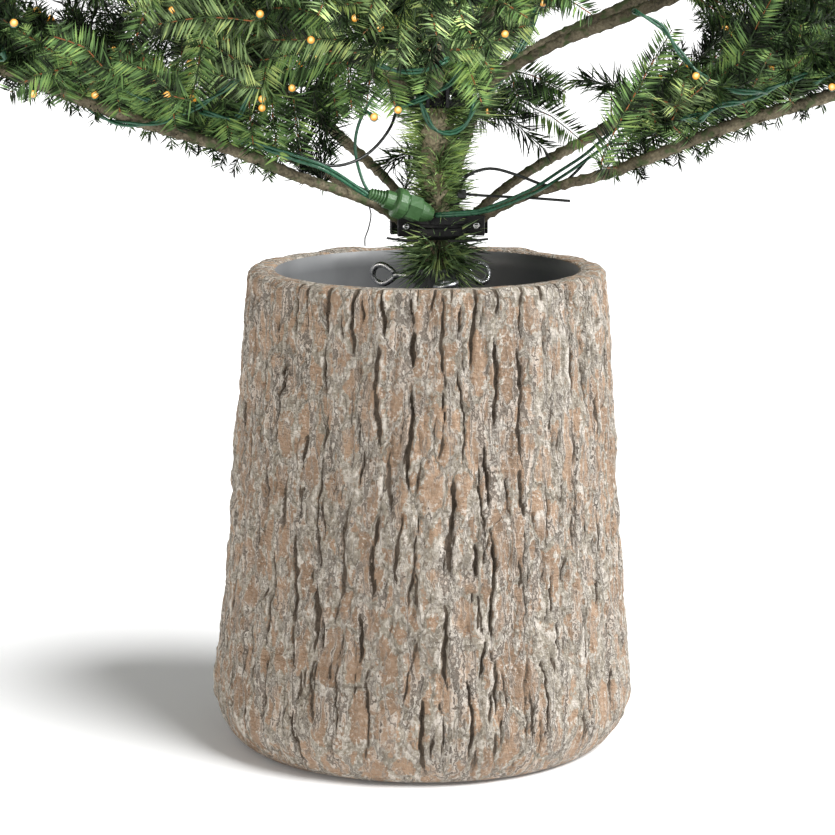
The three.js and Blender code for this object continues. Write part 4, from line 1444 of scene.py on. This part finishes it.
class PottedTreeFoliage(bpy.types.Operator):
    """Grow the twigs and their needles"""

    bl_idname = "potted_tree.foliage"
    bl_label = "Twigs and needles"

    # For each band, the distance between needles along a twig of each kind
    SPACING = {
        "low": {"deep": 0.0005, "green": 0.00095, "pale": 0.001},
        "second": {"deep": 0.00052, "green": 0.001, "pale": 0.001},
        "middle": {"deep": 0.00066, "green": 0.0011, "pale": 0.0011},
        "high": {"deep": 0.0007, "green": 0.0011, "pale": 0.0011},
    }
    FILM_OUTLINE = ([(0, -0.3, 0), (0.5, -0.5, 0.05), (1, 0, 0), (0.3, 0.5, 0.05)], [(0, 1, 2, 3)])
    FROND_OUTLINE = ([(0, 0, 0), (0.36, -0.5, 0.1), (1, 0, 0), (0.36, 0.5, 0.1)], [(0, 1, 2, 3)])

    # How long the needles that cover a bough are from its hub to its end: where it shows on the right and on
    # the left, where it doesn't show, and on the upper stems
    COVERS = {
        "right": (0.16, 0.2, 0.24, 0.34, 0.7, 1.0), "left": (0.16, 0.22, 0.7, 1.0, 1.0),
        "hidden": (0.16, 0.22, 0.6, 1.0, 1.0, 1.0), "upper": (1.0, 1.0),
    }
    # How the two kinds of needles stand, as needles_on takes it
    FILM_STANCE, FROND_STANCE = (50, 16, 0.2, 1.2), (60, 7, 0.9, 0.35)
    # Needles far up are wider, because there are fewer of them
    WIDER = {"low": 1.0, "second": 1.0, "middle": 1.4, "high": 1.4}
    BARE_NEAR_POLE = 0.048
    FIRST_HANGING = 8

    def execute(self, context):
        settings = context.scene.potted_tree_foliage
        colours = {kind: getattr(settings, kind + "_colour") for kind in KINDS}
        finishes = {kind: needle_finish("needles_" + kind, colours[kind], 0.2) for kind in KINDS}
        twig_finish = knotted("moulded_twig", settings.green_colour, settings.twig_colour)
        # Painted shade: the needles that cover boughs and stems deep in the crown take the film green
        # darkened to three tenths
        core = needle_finish("needles_core", shade(settings.deep_colour, 0.3), 0.1)
        wire_finish = mottled("twisted_wire", settings.wire_colour, 0.4, 260, 0.5, bump=0.0004)
        strands = {(band, kind): Strands() for band in BANDS for kind in KINDS}
        fringes = {band: Strands() for band in BANDS}
        for limb in LIMBS:
            band = BAND_OF_TIER[limb.tier.name]
            fine = band in ("low", "second")
            for index, spray in leafy(limb):
                kind = kind_of(limb, index)
                for path, facing, size in twigs_of(spray, limb.seed * 1.3 + index * 11, fine):
                    sizes = [0.85, 1.0, 1.0, 0.65] if kind == "deep" else [0.7, 1.0, 1.0, 0.9, 0.5]
                    sizes = [size * share * (0.8 if limb.tier is TIERS[0] else 1.0) for share in sizes]
                    strands[band, kind].add(kept_above(path, limb), facing, sizes, (0.0011, 0.0005))
            covered = [p for p in limb.stem if hypot(p.x - POLE_X, p.y) > self.BARE_NEAR_POLE]
            if len(covered) > 2:
                shows = limb.tier is TIERS[0] and sin(limb.azimuth) < 0
                side = "right" if cos(limb.azimuth) > 0 else "left"
                cover = side if shows else "hidden" if limb.tier.bough_end else "upper"
                fringes[band].add(covered, UP, self.COVERS[cover])
                for i, p in enumerate(covered[self.FIRST_HANGING:] if shows else []):
                    lean = Vector((roll(limb.seed + i) - 0.5, roll(limb.seed + 2 * i) - 0.5, -0.9))
                    hanging = [p, p + lean * 0.005, p + lean * (0.008 + 0.008 * roll(limb.seed + 3 * i))]
                    strands[band, "deep"].add(hanging, UP, (0.2, 0.4, 0.3), (0.0007, 0.0004))
        for path, kind in seen_fronds():
            facing = (CAMERA_PLACE - path[0]).normalized()
            strands["second", kind].add(path, facing, (0.5, 0.8, 1.0, 1.0, 0.6), (0.001, 0.0005))
        film = template("film_needle", *self.FILM_OUTLINE)
        frond = template("frond_needle", *self.FROND_OUTLINE)
        for seed, ((band, kind), group) in enumerate(strands.items()):
            if not group.points:
                continue
            nodes = nodes_like(*(name + "_foliage" for name, own in BAND_OF_TIER.items() if own == band))
            if kind == "deep":
                needle, wire, stance = film, wire_finish, self.FILM_STANCE
                length, width = settings.needle_length, settings.needle_width
            else:
                needle, wire, stance = frond, twig_finish, self.FROND_STANCE
                length, width = settings.frond_length, settings.frond_width
            sizes = (self.SPACING[band][kind], length, width * self.WIDER[band])
            name = f"{band}_{kind}"
            wires_on(group, "twigs_" + name, wire, 3, nodes)
            needles_on(group, "needles_" + name, needle, finishes[kind], sizes, stance, 10 + seed, nodes)
        # The fringes wear that darkened finish, which paints the crown's inner shade on them
        for seed, (band, group) in enumerate(fringes.items()):
            spacing, length = (0.00045, 0.017) if band in ("low", "second") else (0.0008, 0.024)
            sizes = (spacing, length, settings.needle_width * self.WIDER[band])
            needles_on(group, "fringe_" + band, film, core, sizes, (58, 20, *LOOSE), 60 + seed)
        remove_template(film)
        remove_template(frond)
        return {"FINISHED"}


class PottedTreeTinsel(bpy.types.Operator):
    """Make the tinsel wound up the trunk and the tuft below the lowest collar"""

    bl_idname = "potted_tree.tinsel"
    bl_label = "Trunk tinsel"

    def execute(self, context):
        settings = context.scene.potted_tree_foliage
        # This olive finish carries painted light: it is lightened to make up for the crown's shade on the
        # trunk
        olive = needle_finish("needles_tinsel", settings.tinsel_colour_with_painted_light, 0.3)
        dark = needle_finish("needles_tuft", settings.tuft_colour, 0.3)
        film = template("film_needle", *PottedTreeFoliage.FILM_OUTLINE)

        def upright(low, high, forward=0.0):
            count = max(2, int((high - low) / 0.004))
            return [Vector((POLE_X, -forward, lerp(low, high, i / count))) for i in range(count + 1)]

        tuft = [(upright(0.407, 0.438)[::-1], (0.95, 1.0, 0.85))]
        column = [(upright(0.457, 0.542), (0.92, 1.0, 1.16)), (upright(0.452, 0.505, 0.014), (0.6, 0.6))]
        cuff = [(upright(0.536, 0.574), (1.0, 1.0))]
        above = [(upright(0.57, POLE_TOP), (1.0, 1.0, 0.8))]
        for name, paths, finish, sizes, lean, spread, seed, nodes in (
            ("trunk_tuft_needles", tuft, dark, (0.000042, 0.05, 0.0018), 76, 42, 71, ["trunk_tuft"]),
            ("trunk_tinsel_needles", column, olive, (0.000065, 0.04, 0.0016), 74, 24, 72, ["trunk_tinsel"]),
            ("trunk_cuff_needles", cuff, olive, (0.00003, 0.056, 0.0016), 78, 22, 74, []),
            ("trunk_needles_above", above, olive, (0.00014, 0.042, 0.0018), 70, 26, 73, []),
        ):
            strands = Strands()
            for path, fullness in paths:
                strands.add(path, Vector((1, 0, 0)), fullness)
            needles_on(strands, name, film, finish, sizes, (lean, spread, *LOOSE), seed, nodes)
        remove_template(film)
        return {"FINISHED"}


# Fittings in the pot's mouth

class PottedTreeFittings(bpy.types.Operator):
    """Make the eye bolts that hold the pole, and finish the socket that it stands in"""

    bl_idname = "potted_tree.fittings"
    bl_label = "Eye bolts and socket"

    HEIGHT = 0.399
    WIRE = 0.0029
    RING = 0.0083
    FIRST_AT = 157
    REACHES = (0.053, 0.046, 0.045)
    TURNS = (85, 12, 70)

    def execute(self, context):
        zinc = mottled("bright_zinc", (0.5, 0.51, 0.53), 0.1, 420, 0.3, metallic=1.0, bump=0.00015,
                       uneven=0.09)
        for i, (reach, tilt) in enumerate(zip(self.REACHES, self.TURNS)):
            turn = radians(self.FIRST_AT + 120 * i)
            place = at_pole(self.HEIGHT, turn) @ Matrix.Rotation(radians(tilt), 4, "X")
            neck = reach - 1.75 * self.RING
            loop = []
            for k in range(40):
                t = radians(lerp(196, 524, k / 39))
                pull = max(0.0, -cos(t)) ** 3
                loop.append(Vector((reach + self.RING * cos(t) - 0.55 * self.RING * pull,
                                    self.RING * sin(t) * (1 - 0.25 * pull), 0)))
            shapes = Shapes()
            start = POLE_RADII[0] + CLEARANCE
            shaft = [Vector((lerp(start, neck, k / 90), 0, 0)) for k in range(91)]
            thread_end = start + 0.6 * (neck - start)
            radii = []
            for p in shaft:
                depth = 0.00028 * cos(2 * pi * p.x / 0.0012) if p.x < thread_end else 0.0
                radii.append(self.WIRE - 0.0003 + depth)
            bend = [Vector((neck - 0.001, 0, 0)), Vector((neck + 0.0022, -0.0006, 0)), loop[0]]
            for path, radius in ((shaft, radii), (smooth_path(bend, 0.0006) + loop[1:], None)):
                path = [place @ p for p in path]
                shapes.add(*tube(path, radius or [self.WIRE * 0.92] * len(path), 14))
            fix(shapes.object(f"eye_bolt_{i + 1}_ring", [zinc]), [f"eye_bolt_{i + 1}"])
        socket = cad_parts["stand_socket"]
        paint = mottled("socket_paint", (0.075, 0.08, 0.085), 0.3, 120, 0.45, bump=0.0003, uneven=0.12)
        socket.data.materials.clear()
        socket.data.materials.append(paint)
        return {"FINISHED"}


# Lights

def strand_pair(cable, path, radius, twist, seed):
    """Two strands wound loosely round each other along a path"""
    frames = frames_along(path)
    for which in (0, 1):
        strand = []
        for point, side, over, travelled in frames:
            turn = 2 * pi * travelled / twist + pi * which + seed
            strand.append(point + (side * cos(turn) + over * sin(turn)) * radius * 1.05)
        cable.add_wire(strand, radius)


def cable_route(limb):
    """A cable that winds along a limb and loops out over its sprays"""
    start = limb.tier.bough_end or 0.0
    route = []
    for i, point in enumerate(limb.stem):
        if hypot(point.x - POLE_X, point.y) > start * 0.9 and i % 13 == 4:
            turn = 1.1 * i + limb.seed
            route.append((i, point + Vector((0.009 * sin(turn), 0.009 * cos(turn), 0.01))))
    for k, spray in leafy(limb):
        _, face = spray_frame(spray)
        share, off = 0.3 + 0.25 * roll(limb.seed + 3 * k), 0.011 + 0.008 * roll(limb.seed + k)
        place = spray.at(share) + face * off
        nearest = min(range(len(limb.stem)), key=lambda j: (limb.stem[j] - spray.root).length)
        route.append((nearest + 1.5, place))
    return [point for _, point in sorted(route, key=lambda pair: pair[0])]


class PottedTreeLights(bpy.types.Operator):
    """Lay the light cables and set the bulbs along them"""

    bl_idname = "potted_tree.lights"
    bl_label = "Lights"

    # Where bulbs show in the photograph, in its pixels
    BULBS_SEEN = [
        (14, 25), (33, 96), (95, 97), (167, 97), (190, 65), (172, 12), (260, 16), (311, 42), (355, 20),
        (380, 30), (262, 110), (292, 90), (374, 119), (398, 112), (505, 36), (456, 78), (489, 113), (543, 5),
        (725, 30), (696, 78), (832, 89), (262, 101),
    ]
    # Cables that show: pixels along each, and the depth of those at the trunk
    CABLES_SEEN = [
        ([(84, 103), (110, 121), (150, 124), (185, 113), (215, 96), (240, 78)], None),
        ([(203, 112), (235, 118), (247, 100), (259, 84)], None),
        ([(636, 12), (662, 27), (678, 50), (700, 74), (730, 90), (764, 92)], None),
        ([(702, 119), (718, 106), (745, 101), (772, 88), (804, 75)], None),
        ([(374, 62), (397, 71), (425, 70), (446, 60)], -0.105),
        ([(419, 98), (432, 127), (450, 133), (466, 124), (475, 104)], -0.05),
        ([(400, 108), (421, 99), (446, 87), (458, 72), (460, 44)], -0.06),
    ]
    # How near a twig has to show to carry a cable or a bulb, in pixels, and which of those twigs a cable
    # lies on, from the front, in hundredths
    CABLE_NEAR, BULB_NEAR, FRONT_PART = 14, 30, 12
    # How far in front of its twig a cable or a bulb lies, and how large a bulb that shows is beside the rest
    CABLE_AHEAD, BULB_AHEAD, SEEN_BULB_SIZE = 0.018, 0.014, 1.2
    BULB = [(0, 0.0185), (0.0013, 0.018), (0.0023, 0.016), (0.0025, 0.0135), (0.0023, 0.0105), (0, 0.01)]
    HOLDER = [(0, 0.0118), (0.0026, 0.0118), (0.0029, 0.01), (0.0024, 0.005), (0.0017, 0.0), (0, 0.0)]

    def execute(self, context):
        settings = context.scene.potted_tree_lights
        green = mottled("cable_green", settings.cable_colour, 0.3, 240, 0.32, bump=0.0002, uneven=0.06)
        cable, bulbs = {"near": Strands(), "far": Strands()}, Strands()
        for limb in LIMBS:
            route = cable_route(limb)
            if len(route) < 3:
                continue
            near = limb.tier.bough_end is not None
            path = smooth_path(route, 0.0065 if near else 0.012)
            strand_pair(cable["near" if near else "far"], path, settings.cable_radius, 0.05, limb.seed)
            travelled, due = 0.0, 0.03
            for i in range(1, len(path)):
                travelled += (path[i] - path[i - 1]).length
                if travelled < due:
                    continue
                due += settings.bulb_spacing * lerp(0.75, 1.25, roll(limb.seed + i))
                away = Vector((path[i].x - POLE_X, path[i].y, 0)).normalized()
                lean = Vector((roll(i + limb.seed) - 0.5, roll(2 * i + limb.seed) - 0.5, 0.35 + roll(3 * i)))
                bulbs.dot(path[i], (away * 0.5 + lean).normalized())
        self.add_seen(cable["near"], bulbs, settings.cable_radius)
        for key, sides in (("near", 5), ("far", 4)):
            wires_on(cable[key], "light_cable_" + key, green, sides)
        glow, tree = new_material("lit_bulb", 0.2, glow=settings.bulb_strength)
        stops = [(0.7, settings.rim_colour), (0.94, settings.bulb_colour), (1.0, (1.0, 0.84, 0.5))]
        warm = tree.ramp(tree.value("core"), stops)
        tree.colour(tree.mix(0.75, warm, (0, 0, 0)))
        tree.link(warm, tree.shader.inputs["Emission Color"])
        foot, height = self.BULB[-1][1], self.BULB[0][1] - self.BULB[-1][1]
        parts_on(bulbs, "light_bulbs", self.BULB, glow, core=lambda z: (z - foot) / height)
        parts_on(bulbs, "bulb_holders", self.HOLDER, green)
        return {"FINISHED"}

    def add_seen(self, cable, bulbs, radius):
        """Lays the cables and sets the bulbs that the photograph shows, just in front of twigs near them"""
        twigs = [tuple(p) for limb in LIMBS for k, spray in leafy(limb)
                 for path, _, _ in twigs_of(spray, limb.seed * 1.3 + k * 11, False)
                 for p in kept_above(path, limb)]
        twigs = np.array(twigs + [tuple(p) for path, _ in seen_fronds() for p in path])
        u, v, depth = pixels_of(twigs)
        for number, (route, at_trunk) in enumerate(self.CABLES_SEEN):
            level = at_trunk
            if level is None:
                off = np.array([np.hypot(u - x, v - y) for x, y in route]).min(0)
                near = twigs[off < self.CABLE_NEAR][:, 1]
                level = float(np.percentile(near, self.FRONT_PART)) - self.CABLE_AHEAD
            ends = [seen_at(*route[0], level + 0.05), seen_at(*route[-1], level + 0.05)]
            path = smooth_path([ends[0], *(seen_at(x, y, level) for x, y in route), ends[1]], 0.005)
            strand_pair(cable, path, radius * 1.3, 0.06, number)
        for seen_u, seen_v in self.BULBS_SEEN:
            off = np.hypot(u - seen_u, v - seen_v)
            best = int(np.argmin(depth * 60 + np.maximum(0, off - 4) * 6))
            if off[best] > self.BULB_NEAR:
                continue
            twig = Vector(twigs[best])
            place = seen_at(seen_u, seen_v, twig.y - self.BULB_AHEAD)
            towards = (CAMERA_PLACE - place).normalized()
            rise = twig.lerp(place, 0.4) + UP * 0.003
            wire = smooth_path([twig + Vector((0, 0.012, 0)), rise, place, place + towards * 0.003], 0.004)
            strand_pair(cable, wire, radius, 0.06, seen_u)
            bulbs.dot(place, (towards + UP * 0.1).normalized(), self.SEEN_BULB_SIZE)


# The connector, its leads and the ties near the hub

class PottedTreeConnector(bpy.types.Operator):
    """Make the cable connector above the pot, the leads that run to it, and the cable ties"""

    bl_idname = "potted_tree.connector"
    bl_label = "Connector and ties"

    # Leads between the boughs, as pixels and depths in millimetres, some with their radius in metres
    GREEN_LEADS = [
        [(436, 214, -28), (452, 213, -36), (476, 211, -40), (500, 203, -40), (532, 189, -30),
         (560, 171, -10), (583, 156, 10), (602, 140, 20), (630, 118, 30)],
        [(436, 216, -30), (458, 215, -38), (484, 212, -42), (508, 204, -40), (538, 191, -30),
         (566, 174, -10), (586, 160, 10), (606, 146, 20), (634, 130, 30)],
        [(372, 197, -45), (356, 186, -50), (338, 174, -60), (322, 165, -70), (300, 157, -75),
         (272, 148, -80), (244, 138, -85)],
        [(372, 199, -43), (358, 191, -50), (340, 179, -62), (320, 168, -72), (298, 161, -75),
         (270, 151, -80), (240, 142, -85)],
        [(371, 195, -45), (364, 184, -42), (358, 166, -40), (355, 148, -40), (357, 130, -45),
         (363, 114, -50), (374, 96, -60), (390, 80, -65)],
    ]
    DARK_LEADS = [
        ([(459, 192, -10), (466, 177, -15), (480, 170, -18), (496, 169, -20), (520, 176, -20),
          (545, 185, -20), (562, 183, -12), (576, 172, 0), (588, 158, 12)], 0.0013),
        ([(296, 150, -62), (320, 163, -60), (334, 166, -55), (350, 163, -50), (366, 155, -40),
          (380, 142, -30), (391, 126, -20), (396, 112, -15), (404, 94, -12)], 0.0013),
        ([(366, 199, -24), (371, 214, -29), (368, 230, -31), (365, 238, -32), (365, 246, -32)], 0.0006),
    ]
    TIES = [
        ([(387, 238, -34), (400, 240, -36), (418, 241, -36)], 0.001),
        ([(448, 241, -36), (468, 241, -38), (488, 239, -36)], 0.001),
        ([(462, 194, -20), (490, 196, -24), (530, 198, -24), (570, 201, -20)], 0.0012),
    ]
    BUNDLE = [(536, 12, 30), (527, 34, 30), (514, 58, 20), (500, 80, 20), (486, 98, 20), (474, 112, 15)]
    GREEN_RADIUS = 0.0014
    BUNDLE_RADIUS = 0.0012
    PATH_STEP = 0.004
    RING_HEIGHTS = (0.4485, 0.462)

    def execute(self, context):
        settings = context.scene.potted_tree_lights
        green = bpy.data.materials["cable_green"]
        leads = Strands()
        for route in self.GREEN_LEADS:
            leads.add_wire(smooth_path(places_seen(route), self.PATH_STEP), self.GREEN_RADIUS)
        for k in range(4):
            shift = Vector((0.0022 * cos(1.6 * k), 0.004, 0.0022 * sin(1.6 * k)))
            bow = [p + shift * (1 + 0.7 * sin(i + k)) for i, p in enumerate(places_seen(self.BUNDLE))]
            leads.add_wire(smooth_path(bow, self.PATH_STEP), self.BUNDLE_RADIUS)
        wires_on(leads, "connector_leads", green, 8)
        black = mottled("tie_black", (0.016, 0.018, 0.017), 0.3, 200, 0.38, bump=0.0002)
        dark = Strands()
        for route, radius in self.DARK_LEADS + self.TIES:
            dark.add_wire(smooth_path(places_seen(route), self.PATH_STEP), radius)
        wires_on(dark, "dark_leads", black, 7)

        moulded = mottled("connector_green", settings.plug_colour, 0.16, 60, 0.38, bump=0.0003, uneven=0.08)
        back, front = seen_at(369, 193, -0.046), seen_at(432, 215, -0.03)
        length = (front - back).length
        shapes = Shapes()
        relief = [(0, 0.0), (0.003, 0.0)]
        for k in range(5):
            low = 0.001 + 0.0026 * k
            relief += [(0.0034 + 0.0003 * k, low), (0.0047 + 0.0004 * k, low + 0.0006),
                       (0.0047 + 0.0004 * k, low + 0.0014), (0.0036 + 0.0003 * k, low + 0.002)]
        relief += [(0.0078, 0.0145), (0.008, 0.0225), (0.0118, 0.0235), (0.0128, 0.025), (0.0128, 0.031),
                   (0.0118, 0.0325), (0.0095, 0.033), (0.009, length * 0.82), (0.008, length * 0.9),
                   (0.005, length), (0, length)]
        shapes.add(*lathe(relief, 24, axes_at(back, front - back)))
        nut = [(0, 0.0335), (0.0104, 0.0335), (0.0112, 0.0345), (0.0112, 0.0455), (0.0104, 0.0465),
               (0, 0.0465)]
        shapes.add(*lathe(nut, 6, axes_at(back, front - back)))
        fix(shapes.object("cable_connector", [moulded], smooth_shading=False))

        ties = Shapes()
        head = seen_at(462, 194, -0.022)
        ties.add(*box_between((-0.0035, -0.003, -0.0035), (0.0035, 0.003, 0.0035), Matrix.Translation(head)))
        for height in self.RING_HEIGHTS:
            ring = []
            for k in range(37):
                turn = 2 * pi * k / 36
                ring.append(Vector((POLE_X + 0.0165 * cos(turn), 0.0165 * sin(turn), height)))
            ties.add(*tube(ring, [0.0013] * len(ring), 6))
        fix(ties.object("cable_ties", [black], smooth_shading=False))
        return {"FINISHED"}


# The stage

FILL_PLACE = Vector((-2.2, -1.9, 0.95))
FILL_AIM = Vector((0, 0, 0.3))


class PottedTreeStage(bpy.types.Operator):
    """Set up the floor, the studio light and the photograph's camera"""

    bl_idname = "potted_tree.stage"
    bl_label = "Stage"

    @staticmethod
    def sun(name, strength, azimuth, height, softness):
        light = bpy.data.lights.new(name, "SUN")
        light.energy, light.angle = strength, softness
        lamp = linked(name, light)
        level = cos(height)
        towards = Vector((level * cos(azimuth), -level * sin(azimuth), sin(height)))
        lamp.location = towards * 3
        lamp.rotation_euler = towards.to_track_quat("Z", "Y").to_euler()
        return lamp

    @staticmethod
    def limit(lamp, role, objects, state):
        """Keeps a lamp's light, or the shadows in it, to some objects or away from them"""
        group = bpy.data.collections.new(lamp.name + "_" + role)
        for obj in objects:
            group.objects.link(obj)
        for item in group.collection_objects:
            item.light_linking.link_state = state
        setattr(lamp.light_linking, role + "_collection", group)

    def execute(self, context):
        scene = context.scene
        stage = scene.potted_tree_stage
        half = 30.0
        corners = [(-half, -half, 0), (half, -half, 0), (half, half, 0), (-half, half, 0)]
        material, tree = new_material("studio_floor", 0.9, 0.0, 0.2, stage.floor_glow)
        stops = [(0.2, shade(stage.floor_colour, 0.995)), (0.8, stage.floor_colour)]
        tree.colour(tree.ramp(tree.noise(3.0, 1.0), stops))
        floor = mesh_object("studio_floor", corners, [(0, 1, 2, 3)], [material], smooth_shading=False)
        sides, radius = 64, 0.96 * half
        points = [(radius * cos(2 * pi * k / sides), radius * sin(2 * pi * k / sides), z)
                  for z in (-0.5, 16.0) for k in range(sides)]
        white, tree = new_material("studio_backdrop", 1.0, 0.0, 0.0, 1.0)
        tree.shader.inputs["Base Color"].default_value = (0, 0, 0, 1)
        backdrop = mesh_object("studio_backdrop", points, ring_faces(2, sides), [white])
        for ray in ("diffuse", "glossy", "transmission", "shadow"):
            setattr(backdrop, "visible_" + ray, False)

        world = bpy.data.worlds.new("studio_surroundings")
        world.use_nodes = True
        sky = world.node_tree.nodes["Background"]
        sky.inputs["Color"].default_value = (1, 1, 1, 1)
        sky.inputs["Strength"].default_value = stage.sky_strength
        scene.world = world
        pot = bpy.data.objects["pot_bark"]
        aim = (stage.key_azimuth, stage.key_height, stage.key_softness)
        key = self.sun("key_light", stage.key_strength, *aim)
        self.limit(key, "receiver", [floor, pot], "EXCLUDE")
        lights = ("pot_light", pot, stage.pot_azimuth), ("floor_light", floor, stage.floor_azimuth)
        for name, lit, azimuth in lights:
            low = self.sun(name, stage.pot_strength, azimuth, stage.pot_height, stage.pot_softness)
            self.limit(low, "receiver", [lit], "INCLUDE")
            self.limit(low, "blocker", [pot], "INCLUDE")
        fill = bpy.data.lights.new("fill_light", "AREA")
        fill.shape, fill.size, fill.energy = "SQUARE", 1.6, stage.fill_power
        fill.color = stage.fill_colour
        lamp = linked("fill_light", fill)
        lamp.location = FILL_PLACE
        lamp.rotation_euler = (FILL_PLACE - FILL_AIM).to_track_quat("Z", "Y").to_euler()
        self.limit(lamp, "receiver", [floor], "EXCLUDE")

        camera = bpy.data.cameras.new("photo_camera")
        camera.sensor_width = SENSOR_WIDTH
        camera.lens = FOCAL_PIXELS * SENSOR_WIDTH / PHOTO_SIDE
        camera.clip_end = 60
        eye = linked("photo_camera", camera)
        eye.location = CAMERA_PLACE
        eye.rotation_euler = (pi / 2 - CAMERA_PITCH, 0, 0)
        scene.camera = eye
        scene.view_settings.view_transform = "Standard"
        return {"FINISHED"}


class PottedTreePanel(bpy.types.Panel):
    """The tree's settings and the buttons that make its pieces"""

    bl_idname = "VIEW3D_PT_potted_tree"
    bl_label = "Potted Christmas Tree"
    bl_space_type = "VIEW_3D"
    bl_region_type = "UI"
    bl_category = "Tree"

    def draw(self, context):
        for operator in OPERATORS:
            self.layout.operator(operator.bl_idname)
        for key in SETTINGS:
            group = getattr(context.scene, key)
            box = self.layout.box()
            for name in group.__annotations__:
                box.prop(group, name)


SETTINGS = {
    "potted_tree_pot": PotSettings,
    "potted_tree_foliage": FoliageSettings,
    "potted_tree_lights": LightSettings,
    "potted_tree_stage": StageSettings,
}
OPERATORS = (
    PottedTreePot, PottedTreeTrunk, PottedTreeBoughs, PottedTreeFoliage, PottedTreeTinsel,
    PottedTreeFittings, PottedTreeLights, PottedTreeConnector, PottedTreeStage,
)
LIMBS = grown_limbs()


def register():
    for group in SETTINGS.values():
        bpy.utils.register_class(group)
    for key, group in SETTINGS.items():
        setattr(bpy.types.Scene, key, bpy.props.PointerProperty(type=group))
    for operator in OPERATORS:
        bpy.utils.register_class(operator)
    bpy.utils.register_class(PottedTreePanel)


def unregister():
    bpy.utils.unregister_class(PottedTreePanel)
    for operator in reversed(OPERATORS):
        bpy.utils.unregister_class(operator)
    for key, group in SETTINGS.items():
        delattr(bpy.types.Scene, key)
        bpy.utils.unregister_class(group)


def main():
    register()
    for operator in OPERATORS:
        group, name = operator.bl_idname.split(".")
        getattr(getattr(bpy.ops, group), name)()


if __name__ == "__main__":
    main()
